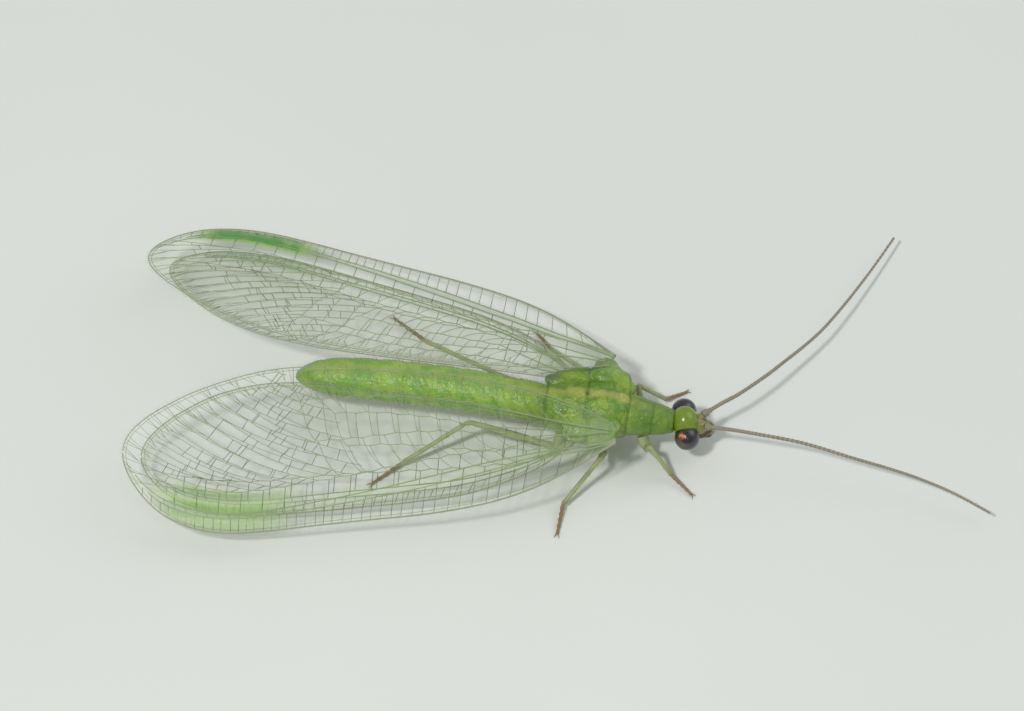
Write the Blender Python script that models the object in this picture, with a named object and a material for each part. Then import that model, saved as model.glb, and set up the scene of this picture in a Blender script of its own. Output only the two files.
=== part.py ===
# A green lacewing at life size, standing with its long wings half spread over its back.
# The insect faces +X, its left side is +Y, and its feet stand on the plane z = 0.
# Lengths are named in millimetres and turned into metres by MM where a mesh is made.
import math

import bmesh
import bpy
from mathutils import Matrix, Vector

MM = 0.001
GAP = 0.3  # clear space kept between two pieces that touch on the real insect
AXIS_HEIGHT = 1.4  # middle line of the thorax above the floor

# Borders between the pieces of the body, along X.
NECK_X = 1.85
PROTHORAX_BACK_X = 0.85
MESOTHORAX_BACK_X = -0.34
METATHORAX_BACK_X = -1.55
ABDOMEN_TIP_X = -8.6

BOSS_RADII = (0.34, 0.27, 0.24)  # of the swelling under each wing root

# How far the abdomen's middle arches up from a straight line, and leans to the left of it.
ABDOMEN_RISE = 0.12
ABDOMEN_LEAN = 0.09

# The head is turned a little to the insect's left on its neck.
HEAD_TURN = math.radians(12)
NECK = Vector((2.1, 0.0, AXIS_HEIGHT - 0.15))
EYE_RADIUS = 0.35
EYE_SIDE = 0.47
EYE_INNER = 0.36  # the flat inner side of each eye
EYE_GAP = 0.12  # the eyes sit closer in their sockets than the other pieces do
EYE_FORWARD = 0.32
EYE_Z = -0.1

# The wings are swept back alike; each side's base, lowering, roll and turn stand with the wings below.
WING_SWEEP = math.radians(8.1)
WING_CAMBER = 0.12
WING_THICKNESS = 0.42
WING_TIP_THICKNESS = 0.3
VEIN_RIDGE = 0.1
FORE_TOP = 0.31  # the fore wing's upper face above the wing plane, its camber aside

# Fore wing outline: distance along the wing, then the chord from the base-to-tip line.
FORE_LEADING = (
    (0.0, 0.26), (0.9, 0.92), (2.1, 1.55), (4.0, 2.08), (8.0, 2.42),
    (10.6, 2.58), (12.0, 2.28), (13.0, 1.58), (13.6, 0.62),
)
FORE_TRAILING = (
    (0.0, -0.22), (0.9, -0.6), (2.1, -1.12), (4.0, -1.7), (7.0, -2.03),
    (9.3, -2.06), (11.0, -1.68), (12.4, -1.0), (13.3, -0.3), (13.6, 0.12),
)
HIND_LEADING = (
    (1.25, 0.46), (2.2, 1.0), (4.2, 1.52), (7.5, 1.76),
    (10.0, 1.9), (11.6, 1.65), (12.7, 1.05), (13.2, 0.35),
)
HIND_TRAILING = (
    (1.25, 0.1), (2.2, -0.2), (5.0, -0.64), (8.2, -1.18),
    (9.8, -1.8), (11.3, -1.58), (12.6, -0.75), (13.2, -0.05),
)

# The two margins are veins, and four long veins run between them: the two zigzag stems of
# the wing's middle, the radial sector, and the radius with the subcosta beside it. Each is a
# share of the chord, from the trailing margin (0) to the leading one (1).
MAIN_VEINS = (0.25, 0.44, 0.64, 0.85)
VEIN_HALF_WIDTH = 0.035

LEG_RADIUS = 0.25
KNEE_RADIUS = 0.275
INSTEP_RADIUS = 0.2
FOOT_RADIUS = 0.16
ANTENNA_RADIUS = 0.25
ANTENNA_TIP_RADIUS = 0.1


def paint(obj, colour, roughness):
    """Gives a piece its own plain finish."""
    material = bpy.data.materials.new(obj.name + "_finish")
    material.use_nodes = True
    shader = material.node_tree.nodes["Principled BSDF"]
    shader.inputs["Base Color"].default_value = (*colour, 1.0)
    shader.inputs["Roughness"].default_value = roughness
    shader.inputs["Metallic"].default_value = 0.0
    obj.data.materials.append(material)


def new_object(name, bm):
    """Turns a bmesh in millimetres into an object in metres."""
    bmesh.ops.scale(bm, vec=(MM, MM, MM), verts=bm.verts)
    bmesh.ops.recalc_face_normals(bm, faces=bm.faces)
    mesh = bpy.data.meshes.new(name)
    bm.to_mesh(mesh)
    bm.free()
    mesh.shade_smooth()
    mesh.set_sharp_from_angle(angle=math.radians(40))
    obj = bpy.data.objects.new(name, mesh)
    bpy.context.scene.collection.objects.link(obj)
    return obj


def blend_points(points, share):
    """The point at this share (0 to 1) of a smooth curve through the listed points."""
    place = share * (len(points) - 1)
    first = min(int(place), len(points) - 2)
    t = place - first
    before = points[max(first - 1, 0)]
    after = points[min(first + 2, len(points) - 1)]
    found = []
    for p0, p1, p2, p3 in zip(before, points[first], points[first + 1], after):
        m1 = (p2 - p0) / 2
        m2 = (p3 - p1) / 2
        found.append(
            (2 * t**3 - 3 * t**2 + 1) * p1
            + (t**3 - 2 * t**2 + t) * m1
            + (3 * t**2 - 2 * t**3) * p2
            + (t**3 - t**2) * m2
        )
    return found


def outline_at(outline, along):
    """The chord of an outline at a distance along the wing, on a smooth curve through its points."""
    last = len(outline) - 1
    first = max(i for i in range(last) if outline[i][0] <= along + 1e-9)
    (x0, y0), (x1, y1) = outline[first], outline[first + 1]

    def slope(i):
        low, high = max(i - 1, 0), min(i + 1, last)
        return (outline[high][1] - outline[low][1]) / (outline[high][0] - outline[low][0])

    width = x1 - x0
    t = (along - x0) / width
    return (
        (2 * t**3 - 3 * t**2 + 1) * y0
        + (t**3 - 2 * t**2 + t) * width * slope(first)
        + (3 * t**2 - 2 * t**3) * y1
        + (t**3 - t**2) * width * slope(first + 1)
    )


def skin_rings(bm, rings):
    """Joins rings of points into one closed skin with a flat cap at each end."""
    sides = len(rings[0])
    for ring, following in zip(rings, rings[1:]):
        for i in range(sides):
            j = (i + 1) % sides
            bm.faces.new((ring[i], ring[j], following[j]))
            bm.faces.new((ring[i], following[j], following[i]))
    bm.faces.new(rings[0][::-1])
    bm.faces.new(rings[-1])


def body_piece(bm, stations, sides=20):
    """A length of body from stations (x, y, z, half width, half height); z counts from the axis."""
    rings = []
    for x, y, z, half_width, half_height in stations:
        rings.append([
            bm.verts.new((
                x,
                y + half_width * math.cos(math.tau * i / sides),
                AXIS_HEIGHT + z + half_height * math.sin(math.tau * i / sides),
            ))
            for i in range(sides)
        ])
    skin_rings(bm, rings)


def tube(bm, stations, steps, sides=8):
    """A round limb along a smooth curve through stations (x, y, z, radius)."""
    path = [blend_points(stations, i / (steps - 1)) for i in range(steps)]
    centres = [Vector(p[:3]) for p in path]
    across = Vector((0, 0, 1))
    rings = []
    for i, centre in enumerate(centres):
        ahead = (centres[min(i + 1, steps - 1)] - centres[max(i - 1, 0)]).normalized()
        across = (across - ahead * across.dot(ahead)).normalized()
        side = ahead.cross(across)
        radius = path[i][3]
        rings.append([
            bm.verts.new(
                centre
                + radius * math.cos(math.tau * k / sides) * across
                + radius * math.sin(math.tau * k / sides) * side
            )
            for k in range(sides)
        ])
    skin_rings(bm, rings)


def ball(bm, centre, radii, segments=14, rings=8):
    """An ellipsoid with these three radii."""
    place = Matrix.Translation(centre) @ Matrix.Diagonal((*radii, 1.0))
    bmesh.ops.create_uvsphere(bm, u_segments=segments, v_segments=rings, radius=1.0, matrix=place)


def cut_away(bm, point, direction):
    """Removes what lies past a plane, on the side its direction points to, and closes the cut."""
    cut = bmesh.ops.bisect_plane(
        bm,
        geom=bm.verts[:] + bm.edges[:] + bm.faces[:],
        plane_co=point,
        plane_no=direction,
        clear_outer=True,
        dist=1e-5,
    )
    edges = [part for part in cut["geom_cut"] if isinstance(part, bmesh.types.BMEdge)]
    bmesh.ops.holes_fill(bm, edges=edges)


def combine(base, others, operation):
    """Joins other objects to a base, or cuts them from it, and removes them."""
    collection = bpy.data.collections.new(base.name + "_tools")
    bpy.context.scene.collection.children.link(collection)
    for other in others:
        bpy.context.scene.collection.objects.unlink(other)
        collection.objects.link(other)
    modifier = base.modifiers.new(operation.lower(), "BOOLEAN")
    modifier.operand_type = "COLLECTION"
    modifier.collection = collection
    modifier.operation = operation
    modifier.solver = "EXACT"
    bpy.context.view_layer.objects.active = base
    bpy.context.view_layer.update()
    with bpy.context.temp_override(object=base, active_object=base, selected_objects=[base]):
        bpy.ops.object.modifier_apply(modifier=modifier.name)
    for other in others:
        bpy.data.objects.remove(other)
    bpy.data.collections.remove(collection)


def largest_surface(obj):
    """Keeps only the largest closed surface of a piece."""
    bm = bmesh.new()
    bm.from_mesh(obj.data)
    unseen = set(bm.faces)
    groups = []
    while unseen:
        group = set()
        waiting = [unseen.pop()]
        while waiting:
            face = waiting.pop()
            group.add(face)
            for edge in face.edges:
                for other in edge.link_faces:
                    if other in unseen:
                        unseen.discard(other)
                        waiting.append(other)
        groups.append(group)
    groups.sort(key=lambda faces: sum(face.calc_area() for face in faces))
    loose = [face for group in groups[:-1] for face in group]
    if loose:
        bmesh.ops.delete(bm, geom=loose, context="FACES")
    bm.to_mesh(obj.data)
    bm.free()


def turn_head(bm):
    bmesh.ops.rotate(bm, cent=NECK, matrix=Matrix.Rotation(HEAD_TURN, 3, "Z"), verts=bm.verts)


def eye_dome(bm, side, grow):
    """An eye's dome, or the socket for it when it is made larger by grow."""
    centre = Vector((NECK.x + EYE_FORWARD, side * EYE_SIDE, NECK.z + EYE_Z))
    radius = EYE_RADIUS + grow
    ball(bm, centre, (radius, radius, radius * 1.05), 16, 10)
    cut_away(bm, Vector((0, side * (EYE_INNER - grow), 0)), Vector((0, -side, 0)))
    turn_head(bm)


def make_head():
    """The skull, the face that slopes down in front of it, the jaws and two pairs of palps."""
    bm = bmesh.new()
    ball(bm, NECK + Vector((0.3, 0, -0.02)), (0.44, 0.6, 0.45), 22, 12)
    turn_head(bm)
    head = new_object("head", bm)
    pieces = []
    shapes = (
        (NECK + Vector((0.62, 0, -0.24)), (0.38, 0.33, 0.3)),
        (NECK + Vector((0.86, 0, -0.42)), (0.26, 0.25, 0.2)),
        (NECK + Vector((0.95, 0, -0.56)), (0.15, 0.2, 0.16)),
    )
    for centre, radii in shapes:
        bm = bmesh.new()
        ball(bm, centre, radii)
        turn_head(bm)
        pieces.append(new_object("face", bm))
    for side in (-1, 1):
        palp = (
            (NECK.x + 0.8, side * 0.15, NECK.z - 0.5, 0.09),
            (NECK.x + 0.92, side * 0.29, NECK.z - 0.66, 0.08),
            (NECK.x + 1.1, side * 0.27, NECK.z - 0.82, 0.06),
        )
        bm = bmesh.new()
        tube(bm, palp, 6, 6)
        turn_head(bm)
        pieces.append(new_object("palp", bm))
    combine(head, pieces, "UNION")
    sockets = []
    for side in (-1, 1):
        bm = bmesh.new()
        eye_dome(bm, side, EYE_GAP)
        sockets.append(new_object("socket", bm))
    combine(head, sockets, "DIFFERENCE")
    largest_surface(head)
    paint(head, (0.33, 0.42, 0.02), 0.35)


def make_eye(name, side):
    bm = bmesh.new()
    eye_dome(bm, side, 0.0)
    paint(new_object(name, bm), (0.02, 0.025, 0.02), 0.2)


def make_prothorax():
    """The narrow collar behind the head, with a groove across it."""
    front, back = NECK_X - GAP / 2, PROTHORAX_BACK_X + GAP / 2
    length = front - back
    bm = bmesh.new()
    body_piece(bm, (
        (front, 0, -0.12, 0.42, 0.4),
        (front - 0.12 * length, 0, -0.1, 0.5, 0.47),
        (front - 0.36 * length, 0, -0.08, 0.54, 0.5),
        (front - 0.46 * length, 0, -0.08, 0.51, 0.47),
        (front - 0.56 * length, 0, -0.07, 0.56, 0.53),
        (front - 0.85 * length, 0, -0.05, 0.57, 0.56),
        (back, 0, -0.05, 0.52, 0.52),
    ))
    paint(new_object("prothorax", bm), (0.17, 0.36, 0.06), 0.45)


def make_wing_segment(name, front, back, half_width, half_height, root):
    """A wing-bearing segment of the thorax, with a boss under each wing root."""
    front, back = front - GAP / 2, back + GAP / 2
    length = front - back
    bm = bmesh.new()
    shares = ((0.0, 0.72), (0.12, 0.88), (0.35, 0.99), (0.6, 1.0), (0.85, 0.9), (1.0, 0.76))
    body_piece(bm, [
        (front - share * length, 0, 0.0, half_width * size, half_height * size)
        for share, size in shares
    ])
    segment = new_object(name, bm)
    bosses = []
    for side in (-1, 1):
        bm = bmesh.new()
        ball(bm, Vector((root[0], side * root[1], AXIS_HEIGHT + root[2])), BOSS_RADII)
        bosses.append(new_object("boss", bm))
    combine(segment, bosses, "UNION")
    largest_surface(segment)
    paint(segment, (0.17, 0.36, 0.06), 0.45)


def make_abdomen():
    """The long soft abdomen: a slightly arched row of segments, pinched where two of them meet."""
    front = METATHORAX_BACK_X - GAP / 2
    length = front - ABDOMEN_TIP_X
    segments = 9
    outline = (
        (0.0, 0.5), (1.0, 0.57), (3.0, 0.6), (5.2, 0.585), (6.0, 0.53), (6.5, 0.43), (6.8, 0.28), (length, 0.14),
    )
    steps = segments * 3
    stations = []
    for i in range(steps + 1):
        share = i / steps
        along = share * length
        radius = outline_at(outline, min(along, length - 1e-6))
        pinch = 1 - 0.05 * (0.5 + 0.5 * math.cos(math.tau * segments * share)) ** 2
        arch = 4 * share * (1 - share)
        middle = (front - along, ABDOMEN_LEAN * arch, ABDOMEN_RISE * arch)
        stations.append((*middle, radius * pinch, radius * pinch))
    bm = bmesh.new()
    body_piece(bm, stations, 16)
    paint(new_object("abdomen", bm), (0.2, 0.4, 0.08), 0.5)


def wing_frame(side, base, lowering, roll):
    """The base point and the three directions of a wing: along it, across to its front, and up."""
    along = Vector((
        -math.cos(lowering) * math.cos(WING_SWEEP),
        side * math.cos(lowering) * math.sin(WING_SWEEP),
        -math.sin(lowering),
    ))
    level = Vector((math.sin(WING_SWEEP), side * math.cos(WING_SWEEP), 0.0))
    upright = along.cross(level)
    if upright.z < 0:
        upright = -upright
    chord = level * math.cos(roll) - upright * math.sin(roll)
    up = upright * math.cos(roll) + level * math.sin(roll)
    return Vector(base), along, chord, up


def turned(directions, angle):
    """A wing's directions turned forwards in its own plane."""
    base, along, chord, up = directions
    ahead = along * math.cos(angle) + chord * math.sin(angle)
    return base, ahead, chord * math.cos(angle) - along * math.sin(angle), up


def vein_columns():
    """Where the wing's mesh has its lines across the chord, with the ridge height at each."""
    columns = [(0.0, 0.5), (0.1, 0.0)]
    for vein in MAIN_VEINS:
        columns += [(vein - VEIN_HALF_WIDTH, 0.0), (vein, 1.0), (vein + VEIN_HALF_WIDTH, 0.0)]
    columns += [(0.94, 0.0), (1.0, 1.0)]
    return columns


def make_wing(name, directions, leading, trailing, middle):
    """A wing as one thin plate whose main veins stand up as ridges in its upper face.

    middle is the height of the plate's middle above the wing plane.
    """
    base, along, chord, up = directions
    root, tip = leading[0][0], leading[-1][0]
    columns = vein_columns()
    rows = 26
    bm = bmesh.new()
    upper, lower = [], []
    for i in range(rows + 1):
        share = math.sin(math.pi / 2 * (i / rows) ** 0.9)
        at = root + (tip - root) * share
        front, back = outline_at(leading, min(at, tip - 1e-6)), outline_at(trailing, min(at, tip - 1e-6))
        half = (WING_THICKNESS + (WING_TIP_THICKNESS - WING_THICKNESS) * share**6) / 2
        upper_row, lower_row = [], []
        for place, ridge in columns:
            across = back + (front - back) * place
            camber = WING_CAMBER * (1 - (2 * place - 1) ** 2) * min(1.0, (front - back) / 3)
            point = base + along * at + chord * across + up * (middle + camber)
            fade = 1 - share**8
            upper_row.append(bm.verts.new(point + up * (half + VEIN_RIDGE * ridge * fade)))
            lower_row.append(bm.verts.new(point - up * half))
        upper.append(upper_row)
        lower.append(lower_row)
    last = len(columns) - 1
    for i in range(rows):
        for j in range(last):
            for face in (upper, lower):
                bm.faces.new((face[i][j], face[i + 1][j], face[i + 1][j + 1]))
                bm.faces.new((face[i][j], face[i + 1][j + 1], face[i][j + 1]))
        for j in (0, last):
            bm.faces.new((upper[i][j], upper[i + 1][j], lower[i + 1][j]))
            bm.faces.new((upper[i][j], lower[i + 1][j], lower[i][j]))
    for i in (0, rows):
        for j in range(last):
            bm.faces.new((upper[i][j], upper[i][j + 1], lower[i][j + 1]))
            bm.faces.new((upper[i][j], lower[i][j + 1], lower[i][j]))
    paint(new_object(name, bm), (0.6, 0.68, 0.55), 0.3)


def make_leg(name, hip, knee, ankle, toe):
    """A stout thigh, a round knee, and a shin with its thinner foot pressed flat on the floor."""
    bm = bmesh.new()
    ball(bm, Vector(knee), (KNEE_RADIUS, KNEE_RADIUS, KNEE_RADIUS), 16, 10)
    leg = new_object(name, bm)
    bm = bmesh.new()
    tube(bm, ((*hip, LEG_RADIUS), (*knee, LEG_RADIUS)), 3)
    thigh = new_object("thigh", bm)
    sole = Vector(ankle).lerp(Vector(toe), 0.55)
    bm = bmesh.new()
    tube(bm, ((*knee, LEG_RADIUS), (*ankle, LEG_RADIUS), (*sole, INSTEP_RADIUS), (*toe, FOOT_RADIUS)), 14)
    cut_away(bm, Vector((0, 0, 0)), Vector((0, 0, -1)))
    shin = new_object("shin", bm)
    combine(leg, [thigh, shin], "UNION")
    paint(leg, (0.35, 0.36, 0.16), 0.45)


def make_antenna(name, route):
    """A long feeler that thins out evenly from its root to its tip."""
    stations = []
    for i, point in enumerate(route):
        share = i / (len(route) - 1)
        stations.append((*point, ANTENNA_RADIUS + (ANTENNA_TIP_RADIUS - ANTENNA_RADIUS) * share))
    bm = bmesh.new()
    tube(bm, stations, 24)
    paint(new_object(name, bm), (0.42, 0.34, 0.22), 0.5)


for old in list(bpy.data.objects):
    bpy.data.objects.remove(old)

make_head()
make_eye("eye_left", 1)
make_eye("eye_right", -1)
make_prothorax()
make_wing_segment("mesothorax", PROTHORAX_BACK_X, MESOTHORAX_BACK_X, 0.84, 0.82, (0.26, 0.7, 0.2))
make_wing_segment("metathorax", MESOTHORAX_BACK_X, METATHORAX_BACK_X, 0.76, 0.7, (-0.95, 0.66, 0.1))
make_abdomen()

RIGHT, LEFT = -1, 1
fore_middle = FORE_TOP - WING_THICKNESS / 2
hind_middle = fore_middle - WING_THICKNESS - GAP - VEIN_RIDGE
for side, word, base, lowering, roll, hind_turn in (
    (RIGHT, "right", (0.42, -1.2, 2.11), math.radians(3.0), math.radians(18.7), 0.0),
    (LEFT, "left", (0.03, 1.13, 2.08), math.radians(1.6), math.radians(20.5), math.radians(3.0)),
):
    directions = wing_frame(side, base, lowering, roll)
    make_wing("forewing_" + word, directions, FORE_LEADING, FORE_TRAILING, fore_middle)
    hind_directions = turned(directions, hind_turn)
    make_wing("hindwing_" + word, hind_directions, HIND_LEADING, HIND_TRAILING, hind_middle)

# Each leg's hip, knee, ankle and toe, with heights above the floor.
LEGS = {
    "foreleg_right": ((1.35, -0.73, 0.48), (1.58, -1.07, 0.95), (2.19, -1.12, 0.25), (2.82, -1.58, 0.1)),
    "foreleg_left": ((1.25, 0.75, 0.48), (0.98, 1.18, 0.98), (1.71, 1.45, 0.25), (2.26, 1.88, 0.1)),
    "midleg_right": ((0.3, -0.88, 0.42), (0.15, -1.48, 0.93), (-0.7, -2.48, 0.25), (-0.74, -3.4, 0.1)),
    "midleg_left": ((0.1, 0.88, 0.42), (-0.5, 1.52, 0.85), (-1.75, 2.75, 0.25), (-2.23, 3.31, 0.1)),
    "hindleg_right": ((-1.1, -0.88, 0.42), (-3.3, -0.8, 0.6), (-5.3, -1.75, 0.25), (-6.13, -2.47, 0.1)),
    "hindleg_left": ((-1.1, 0.88, 0.42), (-3.0, 1.35, 0.52), (-5.4, 2.55, 0.25), (-6.34, 3.2, 0.08)),
}
for leg, places in LEGS.items():
    make_leg(leg, *places)

# The feelers' routes, from the face to the tip.
ANTENNAE = {
    "antenna_left": (
        (3.24, 0.56, 1.3), (3.85, 1.18, 1.3), (4.6, 2.12, 1.18), (5.4, 3.22, 1.0), (6.25, 4.75, 0.8),
        (6.95, 6.2, 0.63), (7.53, 7.75, 0.5),
    ),
    "antenna_right": (
        (3.44, -0.12, 1.25), (4.27, -0.12, 1.3), (5.72, -0.15, 1.15), (7.18, -0.36, 1.0), (8.5, -0.52, 0.83),
        (9.9, -0.82, 0.62), (11.14, -1.26, 0.4),
    ),
}
for feeler, route in ANTENNAE.items():
    make_antenna(feeler, route)

# The whole insect hangs from one empty, placed so that the middle of its box is over the origin.
lacewing = bpy.data.objects.new("lacewing", None)
bpy.context.scene.collection.objects.link(lacewing)
pieces = [obj for obj in bpy.data.objects if obj.type == "MESH"]
corners = [vertex.co for piece in pieces for vertex in piece.data.vertices]
middle_x = (min(c.x for c in corners) + max(c.x for c in corners)) / 2
middle_y = (min(c.y for c in corners) + max(c.y for c in corners)) / 2
for piece in pieces:
    piece.parent = lacewing
lacewing.location = (-middle_x, -middle_y, 0.0)
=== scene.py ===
import math
import random

import bpy
import numpy as np
from mathutils import Matrix, Vector


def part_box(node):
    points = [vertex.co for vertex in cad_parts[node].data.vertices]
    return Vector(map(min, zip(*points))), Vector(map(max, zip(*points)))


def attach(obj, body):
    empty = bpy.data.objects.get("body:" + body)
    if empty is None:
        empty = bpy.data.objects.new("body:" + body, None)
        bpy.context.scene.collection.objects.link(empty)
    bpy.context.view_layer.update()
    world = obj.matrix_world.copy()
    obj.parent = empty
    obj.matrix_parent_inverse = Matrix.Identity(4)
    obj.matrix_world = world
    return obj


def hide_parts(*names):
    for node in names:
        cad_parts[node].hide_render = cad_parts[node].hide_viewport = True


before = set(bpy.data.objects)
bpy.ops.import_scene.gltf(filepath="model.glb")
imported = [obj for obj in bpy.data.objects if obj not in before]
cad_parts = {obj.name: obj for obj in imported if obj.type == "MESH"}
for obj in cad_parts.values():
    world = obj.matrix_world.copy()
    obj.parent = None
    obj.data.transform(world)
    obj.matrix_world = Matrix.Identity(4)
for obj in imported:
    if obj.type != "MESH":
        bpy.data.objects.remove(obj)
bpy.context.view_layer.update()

# Camera, lamps and floor. The insect stands on a pale floor and is seen from above its
# right side, as in the photo: the camera looks down at 55 degrees, a little from the front.
# A key lamp gives the shine and the shadows, and a wide lamp and a pale room soften them.
MM = 0.001
# Lengths are in millimetres from the thorax's middle (x to the head, y to the left, z from
# the floor), and place() turns them into the frame's metres.
AXIS_Z = 1.4
MESOTHORAX_BACK = -0.19
thorax_low, thorax_high = (Vector(corner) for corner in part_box("mesothorax"))
HOME = Vector((thorax_low.x - MESOTHORAX_BACK * MM, (thorax_low.y + thorax_high.y) / 2, 0.0))


def place(point):
    return HOME + Vector(point) * MM


CAMERA_TURN = math.radians(8)
CAMERA_DOWN = math.radians(55)
MM_PER_PIXEL = 0.028
AXIS_PIXEL = (600, 410)  # where the middle of the thorax is in the photo
PICTURE = (1024, 711)
LENS, SENSOR = 200.0, 36.0
CLIP_START = 0.001

camera_right = Vector((math.cos(CAMERA_TURN), math.sin(CAMERA_TURN), 0))
camera_forward = Vector((
    -math.sin(CAMERA_TURN) * math.cos(CAMERA_DOWN),
    math.cos(CAMERA_TURN) * math.cos(CAMERA_DOWN),
    -math.sin(CAMERA_DOWN),
))
camera_up = camera_right.cross(camera_forward)
view_width = PICTURE[0] * MM_PER_PIXEL
view_distance = view_width * LENS / SENSOR
camera_data = bpy.data.cameras.new("camera")
camera_data.lens = LENS
camera_data.sensor_width = SENSOR
camera_data.clip_start = CLIP_START
camera = bpy.data.objects.new("camera", camera_data)
bpy.context.scene.collection.objects.link(camera)
middle = (
    Vector((0, 0, AXIS_Z))
    + camera_right * (PICTURE[0] / 2 - AXIS_PIXEL[0]) * MM_PER_PIXEL
    + camera_up * (AXIS_PIXEL[1] - PICTURE[1] / 2) * MM_PER_PIXEL
)
camera_turn = Matrix((camera_right, camera_up, -camera_forward)).transposed().to_4x4()
camera.matrix_world = Matrix.Translation(place(middle - camera_forward * view_distance)) @ camera_turn
bpy.context.scene.camera = camera
bpy.context.scene.view_settings.view_transform = "Standard"


LAMPS_AIM = (-2, 0, 1)
ROOM_COLOUR, ROOM_STRENGTH = (0.95, 0.98, 0.98, 1), 0.405
FLOOR_SIZE = 1.2


def lamp(name, where, size, power, colour):
    """A soft square lamp that points at the insect; where and size are in millimetres."""
    data = bpy.data.lights.new(name, "AREA")
    data.size = size * MM
    data.energy = power
    data.color = colour
    obj = bpy.data.objects.new(name, data)
    bpy.context.scene.collection.objects.link(obj)
    obj.location = place(where)
    obj.rotation_euler = (place(LAMPS_AIM) - obj.location).to_track_quat("-Z", "Y").to_euler()


lamp("key", (-46, -73, 145), 16, 0.127, (1.0, 0.995, 0.98))
lamp("fill", (90, 60, 110), 110, 0.05, (0.97, 0.99, 1.0))
world = bpy.data.worlds.new("studio")
bpy.context.scene.world = world
world.use_nodes = True
background = world.node_tree.nodes["Background"]
background.inputs["Color"].default_value = ROOM_COLOUR
background.inputs["Strength"].default_value = ROOM_STRENGTH


def maths(operation, swapped=False):
    """An operator for Socket that adds a Math node."""
    def apply(self, other=None):
        pair = (other, self) if swapped else (self, other)
        return self.finish.node("ShaderNodeMath", {"operation": operation}, pair)
    return apply


class Socket:
    """A shader output that Python's operators turn into Math nodes."""

    def __init__(self, finish, output):
        self.finish = finish
        self.output = output

    __add__ = __radd__ = maths("ADD")
    __mul__ = __rmul__ = maths("MULTIPLY")
    __sub__, __rsub__ = maths("SUBTRACT"), maths("SUBTRACT", True)
    __truediv__, __rtruediv__ = maths("DIVIDE"), maths("DIVIDE", True)
    __abs__ = maths("ABSOLUTE")


class Finish:
    """A material with one Principled shader; values name its sockets."""

    def __init__(self, name, **values):
        self.material = bpy.data.materials.new(name)
        self.material.use_nodes = True
        self.tree = self.material.node_tree
        self.shader = self.tree.nodes["Principled BSDF"]
        for socket, value in values.items():
            self.shader.inputs[socket.replace("_", " ")].default_value = value

    def node(self, kind, settings=None, inputs=(), output=0):
        """Adds a node, sets it, fills its sockets with values or links, and returns one output."""
        node = self.tree.nodes.new(kind)
        for setting, value in (settings or {}).items():
            setattr(node, setting, value)
        pairs = inputs.items() if isinstance(inputs, dict) else enumerate(inputs)
        for key, value in pairs:
            if isinstance(value, Socket):
                self.tree.links.new(value.output, node.inputs[key])
            elif value is not None:
                node.inputs[key].default_value = value
        return Socket(self, node.outputs[output])

    def feed(self, socket, value):
        self.tree.links.new(value.output, self.shader.inputs[socket])

    def place(self):
        return self.node("ShaderNodeTexCoord", output="Object")

    def axis(self, number, origin):
        """One of the x, y and z of the place, in millimetres from an origin."""
        value = self.node("ShaderNodeSeparateXYZ", None, [self.place()], number)
        return (value - origin[number]) / MM

    def away_from(self, point):
        """How far the place is from a point, in millimetres."""
        inputs = [self.place(), tuple(point)]
        return self.node("ShaderNodeVectorMath", {"operation": "DISTANCE"}, inputs, "Value") / MM

    def noise(self, per_mm, detail=3.0, roughness=0.55):
        """Noise with this many lumps a millimetre, from 0 to 1."""
        inputs = {"Vector": self.place(), "Scale": per_mm / MM, "Detail": detail, "Roughness": roughness}
        return self.node("ShaderNodeTexNoise", None, inputs, "Fac")

    def attribute(self, name):
        return self.node("ShaderNodeAttribute", {"attribute_name": name}, output="Fac")

    def mix(self, share, first, second):
        """A colour between two colours; each is a Socket or an (r, g, b)."""
        first, second = (c if isinstance(c, Socket) else (*c, 1.0) for c in (first, second))
        settings = {"data_type": "RGBA"}
        return self.node("ShaderNodeMix", settings, {0: share, 6: first, 7: second}, output=2)

    def smooth_step(self, value, low, high):
        settings = {"interpolation_type": "SMOOTHSTEP"}
        inputs = {"Value": value, "From Min": low, "From Max": high}
        return self.node("ShaderNodeMapRange", settings, inputs)

    def bump(self, height, distance, strength=1.0):
        inputs = {"Height": height, "Distance": distance * MM, "Strength": strength}
        self.feed("Normal", self.node("ShaderNodeBump", None, inputs))


def wear(obj, finish):
    obj.data.materials.clear()
    obj.data.materials.append(finish.material)


bpy.ops.object.select_all(action="DESELECT")
bpy.ops.mesh.primitive_plane_add(size=FLOOR_SIZE, location=(HOME.x, HOME.y, 0))
floor = bpy.context.object
floor.name = "floor"
paper = Finish("pale_floor", Roughness=0.85)
paper.feed("Base Color", paper.mix(paper.noise(0.05), (0.73, 0.755, 0.715), (0.81, 0.83, 0.785)))
wear(floor, paper)

# Body. The soft trunk of the insect, from its neck to the tip of the abdomen: thin green
# skin over the thorax's plates and muscles, with lobes under the wings and over the legs,
# and nine ringed segments behind. It is one skin, drawn out ring by ring and fused.
RIGHT, LEFT = -1, 1
TRUNK_SIDES = 28
ABDOMEN_FRONT, ABDOMEN_TIP = -1.6, -8.62
SEGMENTS = 9
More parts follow.
